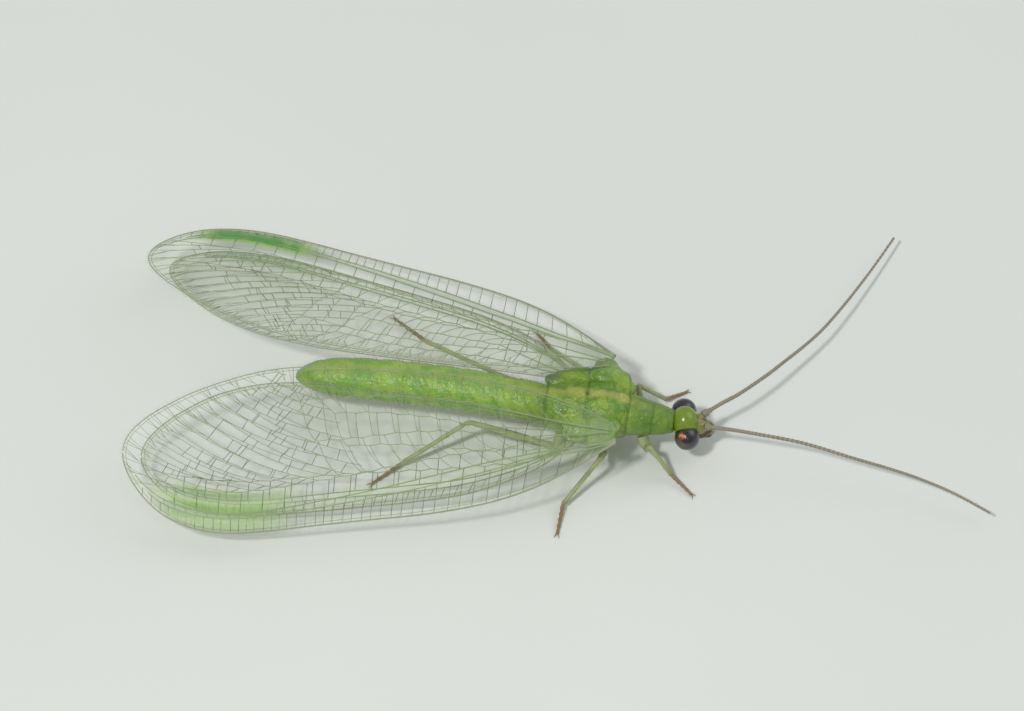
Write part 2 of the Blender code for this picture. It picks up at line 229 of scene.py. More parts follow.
# Rings of the thorax from the neck back: x, z from the body's axis, half width, half height.
THORAX_RINGS = (
    (2.1, -0.15, 0.32, 0.3), (2.0, -0.14, 0.35, 0.34), (1.88, -0.13, 0.39, 0.37),
    (1.75, -0.12, 0.43, 0.4), (1.6, -0.11, 0.465, 0.435), (1.53, -0.105, 0.475, 0.445),
    (1.5, -0.1, 0.465, 0.435), (1.46, -0.1, 0.485, 0.455), (1.25, -0.08, 0.53, 0.5),
    (1.0, -0.06, 0.575, 0.55), (0.9, -0.05, 0.58, 0.56), (0.86, -0.05, 0.56, 0.54),
    (0.82, -0.04, 0.59, 0.57), (0.72, -0.02, 0.68, 0.65), (0.6, 0.0, 0.74, 0.71),
    (0.3, 0.0, 0.83, 0.79), (0.0, 0.0, 0.86, 0.8), (-0.2, 0.0, 0.84, 0.78),
    (-0.3, 0.0, 0.8, 0.75), (-0.35, 0.0, 0.775, 0.725),
    (-0.4, 0.0, 0.8, 0.73), (-0.6, -0.01, 0.84, 0.74), (-0.9, -0.02, 0.83, 0.72),
    (-1.2, -0.02, 0.76, 0.68), (-1.42, -0.02, 0.67, 0.62), (-1.52, -0.01, 0.61, 0.58),
)
# Lobes fused into the thorax: middle (z from the body's axis) and the three radii.
LOBES = (
    ((0.22, 0.34, 0.34), (0.48, 0.38, 0.37)), ((-0.16, 0.0, 0.6), (0.2, 0.26, 0.2)),
    ((-0.72, 0.32, 0.3), (0.38, 0.36, 0.35)), ((-1.1, 0.0, 0.46), (0.16, 0.22, 0.18)),
    ((0.1, 0.46, -0.3), (0.46, 0.37, 0.4)), ((-0.85, 0.45, -0.26), (0.4, 0.36, 0.36)),
    ((1.28, 0.24, -0.24), (0.26, 0.25, 0.27)),
)
# Flat lobes that slope out to the root of each wing; the two sides differ as the wings do.
ROOT_LOBES = (
    ((0.2, -0.82, 0.5), (0.5, 0.34, 0.15)), ((0.14, -1.08, 0.46), (0.42, 0.3, 0.11)),
    ((0.1, -1.34, 0.4), (0.32, 0.26, 0.08)), ((-0.5, -0.82, 0.38), (0.5, 0.34, 0.13)),
    ((-0.55, -1.1, 0.32), (0.4, 0.3, 0.08)), ((0.06, 0.92, 0.56), (0.46, 0.36, 0.13)),
    ((0.02, 1.18, 0.55), (0.34, 0.25, 0.09)), ((0.4, 0.8, 0.48), (0.4, 0.3, 0.15)),
    ((0.66, 0.56, 0.38), (0.3, 0.26, 0.18)), ((-0.55, 0.82, 0.44), (0.55, 0.28, 0.12)),
    ((-1.05, 0.7, 0.38), (0.4, 0.26, 0.14)), ((-1.34, 0.5, 0.5), (0.3, 0.2, 0.12)),
)
# The abdomen's radius at each distance from its front, and how far its middle is arched up
# and set to the left of a straight line.
ABDOMEN_GIRTH = (
    (0.0, 0.57), (1.0, 0.59), (3.0, 0.605), (5.2, 0.585),
    (6.0, 0.53), (6.5, 0.43), (6.8, 0.28), (7.02, 0.1),
)
ABDOMEN_RISE, ABDOMEN_LEAN = 0.12, 0.1
ABDOMEN_FLATNESS = 0.98
# Over the length of one segment, its share of the girth.
SEGMENT_SWELL = ((0.0, 0.945), (0.07, 0.965), (0.3, 0.99), (0.7, 1.0), (0.93, 0.995), (0.985, 0.96))
TIP_RADIUS = 0.05
BALL_SIDES, BALL_RINGS = 24, 16
# The size of the grid that fuses the shapes, and how often it is softened. The wing roots'
# lobes, which lie beyond a distance from the middle, are softened more.
TRUNK_VOXEL, TRUNK_SOFTENING = 0.026, 6
ROOTS_FROM, ROOTS_SOFTENING = 0.74, 30


def smooth_value(points, at):
    """A value on a smooth curve through (place, value) points."""
    last = len(points) - 1
    at = min(max(at, points[0][0]), points[-1][0])
    first = max(i for i in range(last) if points[i][0] <= at + 1e-9)
    (x0, y0), (x1, y1) = points[first], points[first + 1]

    def slope(i):
        low, high = max(i - 1, 0), min(i + 1, last)
        return (points[high][1] - points[low][1]) / (points[high][0] - points[low][0])

    width = x1 - x0
    t = (at - x0) / width
    return (
        (2 * t**3 - 3 * t**2 + 1) * y0 + (t**3 - 2 * t**2 + t) * width * slope(first)
        + (3 * t**2 - 2 * t**3) * y1 + (t**3 - t**2) * width * slope(first + 1)
    )


def abdomen_rings():
    """Each segment swells from its front edge and steps in under the hind edge of the one before."""
    length = ABDOMEN_FRONT - ABDOMEN_TIP
    rings = []
    for segment in range(SEGMENTS):
        for share, swell in SEGMENT_SWELL:
            along = (segment + share) / SEGMENTS
            radius = smooth_value(ABDOMEN_GIRTH, along * length) * swell
            arch = 4 * along * (1 - along)
            centre = (ABDOMEN_FRONT - along * length, ABDOMEN_LEAN * arch, ABDOMEN_RISE * arch)
            rings.append((*centre, radius, radius * ABDOMEN_FLATNESS))
    return rings


def deselect():
    bpy.ops.object.select_all(action="DESELECT")


def draw_rings(name, rings, sides):
    """Draws a closed skin by extruding a circle from ring to ring (x, y, z, half width, half height)."""
    deselect()
    x, y, z, half_width, half_height = rings[0]
    centre = place((x, y, AXIS_Z + z))
    bpy.ops.mesh.primitive_circle_add(
        vertices=sides, radius=MM, fill_type="NGON", location=centre, rotation=(0, math.pi / 2, 0)
    )
    obj = bpy.context.object
    obj.name = name
    bpy.ops.object.transform_apply(location=True, rotation=True, scale=True)
    bpy.ops.object.mode_set(mode="EDIT")
    bpy.ops.mesh.select_all(action="SELECT")
    bpy.ops.transform.resize(value=(1, half_width, half_height), center_override=centre)
    size = (half_width, half_height)
    for x, y, z, half_width, half_height in rings[1:]:
        following = place((x, y, AXIS_Z + z))
        bpy.ops.mesh.extrude_region_move(TRANSFORM_OT_translate={"value": following - centre})
        ratio = (1, half_width / size[0], half_height / size[1])
        bpy.ops.transform.resize(value=ratio, center_override=following)
        centre, size = following, (half_width, half_height)
    bpy.ops.mesh.select_all(action="SELECT")
    bpy.ops.mesh.normals_make_consistent(inside=False)
    bpy.ops.object.mode_set(mode="OBJECT")
    return obj


def add_ball(centre, radii):
    """An ellipsoid in millimetres, its place and size in its mesh."""
    deselect()
    bpy.ops.mesh.primitive_uv_sphere_add(
        segments=BALL_SIDES, ring_count=BALL_RINGS, radius=MM, location=place(centre)
    )
    obj = bpy.context.object
    obj.scale = radii
    bpy.ops.object.transform_apply(location=True, rotation=True, scale=True)
    return obj


def join(pieces, name):
    deselect()
    for piece in pieces:
        piece.select_set(True)
    bpy.context.view_layer.objects.active = pieces[0]
    bpy.ops.object.join()
    pieces[0].name = name
    return pieces[0]


def apply_modifiers(obj):
    bpy.context.view_layer.objects.active = obj
    for modifier in list(obj.modifiers):
        bpy.ops.object.modifier_apply(modifier=modifier.name)


def fuse(obj, voxel, smoothing):
    """Makes one closed skin of overlapping shapes and softens where they meet."""
    remesh = obj.modifiers.new("fuse", "REMESH")
    remesh.mode = "VOXEL"
    remesh.voxel_size = voxel * MM
    soften = obj.modifiers.new("soften", "SMOOTH")
    soften.factor = 0.5
    soften.iterations = smoothing
    apply_modifiers(obj)
    obj.data.shade_smooth()


def settle(obj, finish, slot, *nodes):
    """Gives a piece its finish, hangs it on the root and hides the solids it stands in for; the slot is
    not used.
    """
    wear(obj, finish)
    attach(obj, "root")
    if nodes:
        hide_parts(*nodes)


trunk_rings = [(x, 0.0, z, w, h) for x, z, w, h in THORAX_RINGS] + abdomen_rings()
trunk_rings.append((ABDOMEN_TIP, 0.0, 0.0, TIP_RADIUS, TIP_RADIUS))
pieces = [draw_rings("trunk", trunk_rings, TRUNK_SIDES)]
for (x, y, z), radii in LOBES:
    for side in (RIGHT, LEFT) if y else (LEFT,):
        pieces.append(add_ball((x, side * y, AXIS_Z + z), radii))
pieces += [add_ball((x, y, AXIS_Z + z), radii) for (x, y, z), radii in ROOT_LOBES]
trunk = join(pieces, "body_skin")
fuse(trunk, TRUNK_VOXEL, TRUNK_SOFTENING)
wing_roots = trunk.vertex_groups.new(name="wing_roots")
at_side = [vertex.index for vertex in trunk.data.vertices if abs(vertex.co.y - HOME.y) > ROOTS_FROM * MM]
wing_roots.add(at_side, 1.0, "REPLACE")
soften = trunk.modifiers.new("soften_roots", "SMOOTH")
soften.vertex_group = "wing_roots"
soften.iterations = ROOTS_SOFTENING
apply_modifiers(trunk)

# The skin's colours: each pair is mixed by a slow mottling.
THORAX_GREENS = (0.125, 0.27, 0.027), (0.25, 0.39, 0.038)
ABDOMEN_GREENS = (0.18, 0.42, 0.058), (0.36, 0.54, 0.09)
# The crease colour is painted shade, for creases that the skin's shape does not have.
FLECKS, PAINTED_CREASE_SHADE, SEAMS = (0.34, 0.43, 0.07), (0.07, 0.17, 0.02), (0.07, 0.14, 0.015)
BELLY, STRIPE, THIN_SKIN = (0.26, 0.4, 0.12), (0.46, 0.44, 0.12), (0.29, 0.4, 0.18)
DARK_NECK, DARK_TIP = (0.09, 0.19, 0.025), (0.14, 0.28, 0.05)
# Where two plates meet, on the middle line, and how far the seam bows forwards a square
# millimetre out from it.
PLATE_BORDERS = ((0.84, 0.16), (-0.36, 0.06), (-1.5, 0.04), (1.5, 0.09))
# Two brown hinge plates, a grey pad of folded skin, a dark dot, a pale plate and a tan spot
# on the abdomen's side: x, y, z from the body's axis, radius and colour.
MARKS = (
    (0.3, 1.2, 0.5, 0.1, (0.1, 0.07, 0.05)), (0.42, -1.3, 0.4, 0.08, (0.12, 0.09, 0.06)),
    (-1.36, 0.56, 0.55, 0.26, (0.13, 0.18, 0.1)), (-0.35, 0.0, 0.78, 0.06, (0.12, 0.06, 0.02)),
    (0.68, 0.06, 0.66, 0.18, (0.46, 0.5, 0.1)), (-2.7, 0.45, 0.42, 0.24, (0.34, 0.26, 0.1)),
)
STRIPE_Y = 0.04
SKIN_BUMP = 0.032

skin = Finish(
    "leaf_green_skin", Roughness=0.27,
    Subsurface_Weight=0.2, Subsurface_Scale=0.0003, Subsurface_Radius=(0.5, 1.0, 0.25),
)
along, across, height = (skin.axis(number, HOME) for number in range(3))
off_middle = abs(across - STRIPE_Y)
wobble = skin.noise(1.6) - 0.5
mottle = skin.smooth_step(skin.noise(1.8, 4), 0.35, 0.65)
green = skin.mix(mottle, *THORAX_GREENS)
pale = skin.mix(mottle, *ABDOMEN_GREENS)
green = skin.mix(skin.smooth_step(along, -1.6, -3.2), green, pale)
green = skin.mix(skin.smooth_step(skin.noise(6, 5), 0.5, 0.62) * 0.4, green, FLECKS)
# Painted shade of creases: irregular darker lines on the thorax, along the level lines of a slow noise.
level = abs(skin.noise(1.7, 1) - 0.5)
on_thorax = skin.smooth_step(along, -2.2, -0.8)
green = skin.mix((1 - skin.smooth_step(level, 0.0, 0.045)) * on_thorax * 0.45, green, PAINTED_CREASE_SHADE)
belly = 1 - skin.smooth_step(height, AXIS_Z - 0.5, AXIS_Z + 0.1)
green = skin.mix(belly * 0.6, green, BELLY)
# The plate behind the neck and the tip of the abdomen are darker.
green = skin.mix(skin.smooth_step(along, 0.8, 1.0) * 0.45, green, DARK_NECK)
green = skin.mix((1 - skin.smooth_step(along, -8.2, -6.2)) * 0.3, green, DARK_TIP)
# A yellowish stripe along the back, tan on the thorax and faint behind it.
on_back = skin.smooth_step(height, AXIS_Z + 0.25, AXIS_Z + 0.6)
stripe = (1 - skin.smooth_step(off_middle + wobble * 0.35, 0.02, 0.2)) * on_back
stripe = stripe * skin.smooth_step(skin.noise(2.6, 2), 0.3, 0.52)
green = skin.mix(stripe * (0.25 + on_thorax * 0.4), green, STRIPE)
for border, bow in PLATE_BORDERS:
    seam = abs(along - border + across * across * bow)
    seam = 1 - skin.smooth_step(seam + wobble * 0.08, 0.01, 0.06)
    green = skin.mix(seam * 0.5, green, SEAMS)
# Out on the wing roots the skin is thin and greyer.
green = skin.mix(skin.smooth_step(off_middle, 0.6, 1.1) * 0.6, green, THIN_SKIN)
for x, y, z, radius, colour in MARKS:
    away = skin.away_from(place((x, y, AXIS_Z + z))) + wobble * 0.3
    green = skin.mix((1 - skin.smooth_step(away, radius * 0.5, radius)) * 0.7, green, colour)
skin.feed("Base Color", green)
skin.bump(skin.noise(4, 3) * 1.6 + skin.noise(13, 2), SKIN_BUMP)
settle(trunk, skin, "body_skin", "prothorax", "mesothorax", "metathorax", "abdomen")

# Head. A shiny yellow-green shell with a domed top, a face that slopes forwards and down to
# the lip and jaws, and a dark stripe on each cheek. It is made of balls fused into one, and
# is turned a little to the insect's left on the soft neck.
NECK = Vector((2.1, 0.0, AXIS_Z - 0.15))
HEAD_TURN = math.radians(12)
EYE_MIDDLE = Vector((0.32, 0.46, -0.16))
EYE_RADIUS = 0.35


def head_point(x, y, z):
    """A point in millimetres from the neck, before the head is turned."""
    return NECK + Matrix.Rotation(HEAD_TURN, 3, "Z") @ Vector((x, y, z))


def add_head_ball(x, y, z, radii):
    ball = add_ball((0, 0, 0), radii)
    turn = Matrix.Translation(place(head_point(x, y, z))) @ Matrix.Rotation(HEAD_TURN, 4, "Z")
    ball.data.transform(turn @ Matrix.Translation(-place((0, 0, 0))))
    return ball


HEAD_VOXEL, HEAD_SOFTENING = 0.018, 3
HEAD_SHAPES = (
    ((0.3, 0.0, 0.0), (0.38, 0.43, 0.43)),  # dome
    ((0.3, 0.0, -0.14), (0.34, 0.56, 0.36)),  # cheeks behind the eyes
    ((0.62, 0.0, -0.2), (0.36, 0.32, 0.28)),  # face
    ((0.88, 0.0, -0.36), (0.26, 0.24, 0.19)),  # shield above the mouth
    ((1.02, 0.0, -0.52), (0.14, 0.16, 0.12)),  # upper lip
    ((0.7, 0.22, -0.38), (0.26, 0.11, 0.15)),  # jaw base
    ((0.92, 0.14, -0.56), (0.15, 0.07, 0.08)),  # jaw tip
    ((0.78, 0.14, 0.01), (0.09, 0.09, 0.07)),  # feeler socket
)
pieces = []
for (x, y, z), radii in HEAD_SHAPES:
    for side in (RIGHT, LEFT) if y else (LEFT,):
        pieces.append(add_head_ball(x, side * y, z, radii))
head = join(pieces, "head_capsule")
fuse(head, HEAD_VOXEL, HEAD_SOFTENING)

HEAD_GREENS = (0.13, 0.24, 0.01), (0.24, 0.32, 0.018)
FACE_TAN, CHEEK_RED, MIDDLE_BROWN = (0.27, 0.25, 0.1), (0.06, 0.02, 0.009), (0.07, 0.03, 0.015)

shell = Finish(
    "yellow_green_shell", Roughness=0.28, Coat_Weight=0.35, Coat_Roughness=0.15,
    Subsurface_Weight=0.15, Subsurface_Scale=0.0002,
)


def shell_run(x, y):
    """How far a place is from the neck along a level direction given for the head unturned."""
    ahead = Matrix.Rotation(HEAD_TURN, 3, "Z") @ Vector((x, y, 0))
    return shell.axis(0, place(NECK)) * ahead.x + shell.axis(1, place(NECK)) * ahead.y


forward = shell_run(1, 0) + (shell.noise(7) - 0.5) * 0.1
sideways = abs(shell_run(0, 1))
on_face = shell.smooth_step(forward, 0.58, 0.74)
colour = shell.mix(on_face * 0.85, shell.mix(shell.noise(3), *HEAD_GREENS), FACE_TAN)
# A dark red-brown stripe runs from under each eye to the mouth, and a short one between the feelers.
low = 1 - shell.smooth_step(shell.axis(2, place(NECK)), -0.3, -0.2)
cheek = shell.smooth_step(sideways, 0.14, 0.2) * low * shell.smooth_step(forward, 0.46, 0.56)
middle_line = (1 - shell.smooth_step(sideways, 0.02, 0.05)) * shell.smooth_step(forward, 0.7, 0.76)
colour = shell.mix(cheek * 0.9, colour, CHEEK_RED)
shell.feed("Base Color", shell.mix(middle_line * 0.7, colour, MIDDLE_BROWN))
shell.bump(shell.noise(22, 4), 0.008, 0.4)
settle(head, shell, "head_shell", "head")

# Eyes. Two glossy near-black domes of tiny lenses, with a bluish sheen painted into their colour;
# on the right one a paler rim, a dark spot and a coppery red glint are painted in as seen from
# one side. Each is a ball of small facets that bulge a little, set deep in the side of the head.
# The eyes' near-black, and a lighter bluish dark that is a painted sheen of reflection.
EYE_DARKS_AND_PAINTED_SHEEN = (0.012, 0.02, 0.026), (0.03, 0.025, 0.02)
# A paler rim and a dark spot, painted shading as the right eye looks from one side.
PAINTED_EYE_RIM, PAINTED_EYE_PUPIL = (0.11, 0.085, 0.05), (0.012, 0.009, 0.008)
# The reds of the right eye's glint, a painted reflection.
PAINTED_GLINT_REDS = (0.5, 0.05, 0.01), (0.75, 0.25, 0.04)
FACET_INSET, FACET_BULGE = 0.002, 0.0015
eye_finish = Finish("faceted_eye", Roughness=0.16, Coat_Weight=0.8, Coat_Roughness=0.05)
right_eye = head_point(EYE_MIDDLE.x, RIGHT * EYE_MIDDLE.y, EYE_MIDDLE.z)


def painted_eye_spot(offset, full, gone):
    """1 near a spot on the right eye where light or shade is painted, and 0 beyond it; all in
    millimetres.
    """
    away = eye_finish.away_from(place(right_eye + Vector(offset)))
    return 1 - eye_finish.smooth_step(away + (eye_finish.noise(12) - 0.5) * 0.06, full, gone)


# Near-black mixed by a noise with the painted bluish sheen.
colour = eye_finish.mix(eye_finish.noise(4.5, 2), *EYE_DARKS_AND_PAINTED_SHEEN)
# Painted shading of the right eye: a paler rim on one side, then a dark spot.
colour = eye_finish.mix(painted_eye_spot((-0.1, -0.24, 0.1), 0.12, 0.3) * 0.6, colour, PAINTED_EYE_RIM)
colour = eye_finish.mix(painted_eye_spot((0.02, -0.2, 0.28), 0.14, 0.2), colour, PAINTED_EYE_PUPIL)
# The painted glint, a reflection, is broken into patches by a noise, as the facets break it.
painted_glint = eye_finish.mix(eye_finish.smooth_step(eye_finish.noise(16), 0.4, 0.6), *PAINTED_GLINT_REDS)
gaps = eye_finish.smooth_step(eye_finish.noise(11, 2), 0.34, 0.5)
painted_glint_share = painted_eye_spot((-0.156, -0.141, 0.28), 0.03, 0.13) * gaps
eye_finish.feed("Base Color", eye_finish.mix(painted_glint_share, colour, painted_glint))
for name, side in (("eye_left", LEFT), ("eye_right", RIGHT)):
    deselect()
    centre = head_point(EYE_MIDDLE.x, side * EYE_MIDDLE.y, EYE_MIDDLE.z)
    bpy.ops.mesh.primitive_ico_sphere_add(subdivisions=5, radius=EYE_RADIUS * MM, location=place(centre))
    eye = bpy.context.object
    eye.name = name + "_dome"
    bpy.ops.object.transform_apply(location=True, rotation=True, scale=True)
    bpy.ops.object.mode_set(mode="EDIT")
    bpy.ops.mesh.select_all(action="SELECT")
    bpy.ops.mesh.inset(thickness=FACET_INSET * MM, depth=FACET_BULGE * MM, use_individual=True)
    bpy.ops.object.mode_set(mode="OBJECT")
    eye.data.shade_smooth()
    settle(eye, eye_finish, "eye", name)

# Legs. Six thin jointed legs, hollow tubes of tough skin that swell and narrow from joint
# to joint. They are greenish tan, with brown feet of five short joints and a pair of claws.
# Each is drawn as a curve from hip to toe, and bears short hairs.
LEG_SIDES = 10
# Each leg's hip, start of the thigh, knee, ankle and toe.
LEG_ROUTES = {
    "foreleg_right": (
        (1.25, -0.36, 0.9), (1.4, -0.6, 0.62), (1.53, -0.88, 1.14),
        (2.19, -1.1, 0.2), (2.82, -1.58, 0.05),
    ),
    "foreleg_left": (
        (1.2, 0.36, 0.9), (1.14, 0.62, 0.62), (0.93, 1.2, 1.1),
        (1.71, 1.45, 0.2), (2.26, 1.88, 0.05),
    ),
    "midleg_right": (
        (0.25, -0.5, 0.8), (0.24, -0.84, 0.52), (0.17, -1.42, 1.03),
        (-0.7, -2.48, 0.2), (-0.74, -3.4, 0.05),
    ),
    "midleg_left": (
        (0.1, 0.5, 0.8), (0.02, 0.84, 0.52), (-0.5, 1.52, 0.95),
        (-1.75, 2.72, 0.2), (-2.23, 3.31, 0.05),
    ),
    "hindleg_right": (
        (-1.0, -0.45, 0.8), (-1.12, -0.82, 0.56), (-3.6, -0.84, 1.3),
        (-5.35, -1.74, 0.2), (-6.13, -2.47, 0.05),
    ),
    "hindleg_left": (
        (-1.0, 0.45, 0.8), (-1.12, 0.78, 0.52), (-3.0, 1.3, 0.65),
        (-5.35, 2.5, 0.2), (-6.36, 3.26, 0.05),
    ),
}
# Radii along each of a leg's lengths, as (share of the length, radius).
HIP_RADII = ((0.0, 0.17), (0.5, 0.16), (0.85, 0.12), (1.0, 0.08))
THIGH_RADII = ((0.06, 0.09), (0.16, 0.075), (0.5, 0.1), (0.85, 0.082), (0.96, 0.075))
SHIN_RADII = ((0.04, 0.06), (0.12, 0.065), (0.5, 0.062), (0.9, 0.066), (0.98, 0.07))
FOOT_JOINTS = 5
# Half width of the foot's first joint, how much narrower each further one is, and the shape
# of one joint, as (share of its length, share of its width).
FOOT_WIDTH, FOOT_NARROWING, FOOT_END = 0.056, 0.004, 0.03
FOOT_SWELL = ((0.06, 0.72), (0.35, 0.95), (0.85, 1.1))
# A claw: points ahead of the toe, beside it and above it, with the radius at each.
CLAW = ((-0.03, 0.0, 0.0, 0.016), (0.06, 0.05, 0.012, 0.011), (0.1, 0.075, -0.03, 0.004))


def foot_radii():
    """The foot's joints: each swells to its end and is nipped where the next one starts."""
    radii = []
    for joint in range(FOOT_JOINTS):
        width = FOOT_WIDTH - FOOT_NARROWING * joint
        for share, swell in FOOT_SWELL:
            radii.append(((joint + share) / FOOT_JOINTS, width * swell))
    return tuple(radii) + ((1.0, FOOT_END),)


def leg_rings(route):
    """Points (x, y, z, radius) along a leg, from its hip to the end of its foot."""
    rings = []
    parts = (HIP_RADII, THIGH_RADII, SHIN_RADII, foot_radii())
    for start, end, radii in zip(route, route[1:], parts):
        start, end = Vector(start), Vector(end)
        for share, radius in radii:
            rings.append((*start.lerp(end, share), radius))
    return rings


def draw_tubes(name, lines, sides):
    """Draws tubes along lines of (x, y, z, radius) in millimetres as one mesh."""
    deselect()
    data = bpy.data.curves.new(name, "CURVE")
    data.dimensions = "3D"
    data.bevel_depth = 1.0
    data.bevel_resolution = max(sides // 2 - 2, 0)
    data.use_fill_caps = True
    for line in lines:
        spline = data.splines.new("POLY")
        spline.points.add(len(line) - 1)
        for point, (x, y, z, radius) in zip(spline.points, line):
            point.co = (*place((x, y, z)), 1.0)
            point.radius = radius * MM
    obj = bpy.data.objects.new(name, data)
    bpy.context.scene.collection.objects.link(obj)
    obj.select_set(True)
    bpy.context.view_layer.objects.active = obj
    bpy.ops.object.convert(target="MESH")
    obj = bpy.context.object
    obj.data.shade_smooth()
    return obj


def draw_bristles(name, roots, thickness):
    """Many fine hairs as one mesh, each from a root to a tip in metres; thickness is in millimetres."""
    points, faces = [], []
    for root, tip in roots:
        ahead = (tip - root).normalized()
        across = ahead.orthogonal().normalized()
        beside = ahead.cross(across)
        first = len(points)
        for turn in range(3):
            angle = math.tau * turn / 3
            outward = across * math.cos(angle) + beside * math.sin(angle)
            points.append(root + outward * thickness * MM / 2)
        points.append(tip)
        faces += [(first, first + 2, first + 1)]
        faces += [(first + i, first + (i + 1) % 3, first + 3) for i in range(3)]
    mesh = bpy.data.meshes.new(name)
    mesh.from_pydata(points, [], faces)
    obj = bpy.data.objects.new(name, mesh)
    bpy.context.scene.collection.objects.link(obj)
    return obj


hair_chance = random.Random(11)
HAIR_DEPTH = 0.004  # how deep a hair's root is sunk in the skin


def hairs_on(obj, spacing_area, length, lean):
    """Hairs spread over a mesh, one for each spacing_area in square millimetres."""
    roots = []
    waiting = 0.0
    for polygon in obj.data.polygons:
        waiting += polygon.area / (MM * MM) / spacing_area * hair_chance.uniform(0.4, 1.6)
        if waiting < 1:
            continue
        waiting -= int(waiting)
        centre = polygon.center
        stray = Vector([hair_chance.uniform(-0.3, 0.3) for _ in range(3)])
        ahead = polygon.normal + Vector(lean) + stray
        root = centre - polygon.normal * HAIR_DEPTH * MM
        reach = length * MM * hair_chance.uniform(0.6, 1.2)
        roots.append((root, root + ahead.normalized() * reach))
    return roots


LEG_TANS, FOOT_BROWN = ((0.29, 0.36, 0.15), (0.44, 0.48, 0.26)), (0.26, 0.16, 0.085)
KNEE_MARK = 0.12  # how far from the knee its brown reaches
hair_finish = Finish("fine_hair", Base_Color=(0.25, 0.26, 0.16, 1), Roughness=0.5)

leg_finish = Finish("leg_skin", Roughness=0.45, Subsurface_Weight=0.1, Subsurface_Scale=0.0001)
tan = leg_finish.mix(leg_finish.noise(5), *LEG_TANS)
leg_finish.feed("Base Color", leg_finish.mix(leg_finish.attribute("brown"), tan, FOOT_BROWN))
leg_finish.bump(leg_finish.noise(30), 0.006, 0.5)
for name, route in LEG_ROUTES.items():
    toe = Vector(route[-1])
    ahead = (toe - Vector(route[-2])).normalized()
    beside = Vector((-ahead.y, ahead.x, 0)).normalized()
    lines = [leg_rings(route)]
    for side in (RIGHT, LEFT):
        lines.append([
            (*(toe + ahead * forth + beside * side * out + Vector((0, 0, rise))), radius)
            for forth, out, rise, radius in CLAW
        ])
    leg = draw_tubes(name + "_skin", lines, LEG_SIDES)
    brown = leg.data.attributes.new("brown", "FLOAT", "POINT")
    knee, ankle = place(route[-3]), place(route[-2])
    foot_ahead = (place(toe) - ankle).normalized()
    for vertex in leg.data.vertices:
        beyond_ankle = (vertex.co - ankle).dot(foot_ahead) / MM
        on_foot = min(1.0, max(0.0, 0.5 + beyond_ankle * 4))
        near_knee = max(0.0, 1 - (vertex.co - knee).length / (KNEE_MARK * MM))
        brown.data[vertex.index].value = on_foot * 0.95 + near_knee * 0.3
    settle(leg, leg_finish, "leg", name)
    roots = hairs_on(leg, spacing_area=0.006, length=0.1, lean=tuple(ahead * 0.8))
    settle(draw_bristles(name + "_hair", roots, thickness=0.008), hair_finish, "leg")

# Feelers. Two threads about two thirds as long as a fore wing: about ninety tiny tan rings of
# skin in a row, after a thick first joint in a socket of the face. Each is drawn as one
# curve, nipped where two rings meet.
FEELER_ROUTES = {
    "antenna_left": (
        (2.86, 0.33, 1.27), (3.35, 0.73, 1.36), (3.81, 1.16, 1.32), (4.49, 1.98, 1.2),
        (4.93, 2.59, 1.1), (5.38, 3.22, 1.0), (5.82, 3.91, 0.9), (6.25, 4.75, 0.8),
        (6.65, 5.62, 0.7), (7.07, 6.6, 0.6), (7.53, 7.75, 0.5),
    ),
    "antenna_right": (
        (2.98, -0.06, 1.27), (3.6, -0.11, 1.34), (4.27, -0.12, 1.3), (5.72, -0.15, 1.15),
        (7.18, -0.36, 1.0), (8.35, -0.5, 0.85), (9.24, -0.64, 0.7), (10.11, -0.89, 0.6),
        (11.14, -1.26, 0.4),
    ),
}
FEELER_SIDES, FEELER_RINGS = 8, 92
RING_SWELL = (0.82, 1.0, 1.04)  # the nip and the two points of each ring
BASE_RADIUS, END_RADIUS = 0.06, 0.034
# The two thick first joints: each one's end as a share of the feeler's length, and its radius.
FIRST_JOINTS = ((0.035, 0.11), (0.05, 0.075))
FEELER_TANS, NIP_BROWN = ((0.27, 0.24, 0.17), (0.4, 0.36, 0.27)), (0.12, 0.09, 0.06)


def smooth_line(points, count):
    """A smooth curve of count points through points of any size."""
    made = []
    for i in range(count):
        at = i / (count - 1) * (len(points) - 1)
        first = min(int(at), len(points) - 2)
        t = at - first
        p0, p1 = points[max(first - 1, 0)], points[first]
        p2, p3 = points[first + 1], points[min(first + 2, len(points) - 1)]
        made.append(tuple(
            (2 * t**3 - 3 * t**2 + 1) * b + (t**3 - 2 * t**2 + t) * (c - a) / 2
            + (3 * t**2 - 2 * t**3) * c + (t**3 - t**2) * (d - b) / 2
            for a, b, c, d in zip(p0, p1, p2, p3)
        ))
    return made


def feeler_radius(share):
    for end, radius in FIRST_JOINTS:
        if share < end:
            return radius
    return BASE_RADIUS * (1 - share) + END_RADIUS * share


feeler_finish = Finish("feeler_skin", Roughness=0.5)
tan = feeler_finish.mix(feeler_finish.noise(3), *FEELER_TANS)
nipped = feeler_finish.attribute("joint") * 0.6
feeler_finish.feed("Base Color", feeler_finish.mix(nipped, tan, NIP_BROWN))
for name, route in FEELER_ROUTES.items():
    steps = len(RING_SWELL)
    points = smooth_line(route, FEELER_RINGS * steps + 1)
    line = [
        (*point, feeler_radius(i / (len(points) - 1)) * RING_SWELL[i % steps])
        for i, point in enumerate(points)
    ]
    feeler = draw_tubes(name + "_skin", [line], FEELER_SIDES)
    joint = feeler.data.attributes.new("joint", "FLOAT", "POINT")
    for i in range(len(feeler.data.vertices)):
        joint.data[i].value = 1.0 if (i // FEELER_SIDES) % steps == 0 else 0.0
    settle(feeler, feeler_finish, "antenna", name)
    ahead = Vector(route[-1]) - Vector(route[0])
    lean = tuple(ahead.normalized() * 1.2)
    roots = hairs_on(feeler, spacing_area=0.004, length=0.07, lean=lean)
    settle(draw_bristles(name + "_hair", roots, thickness=0.007), hair_finish, "antenna")

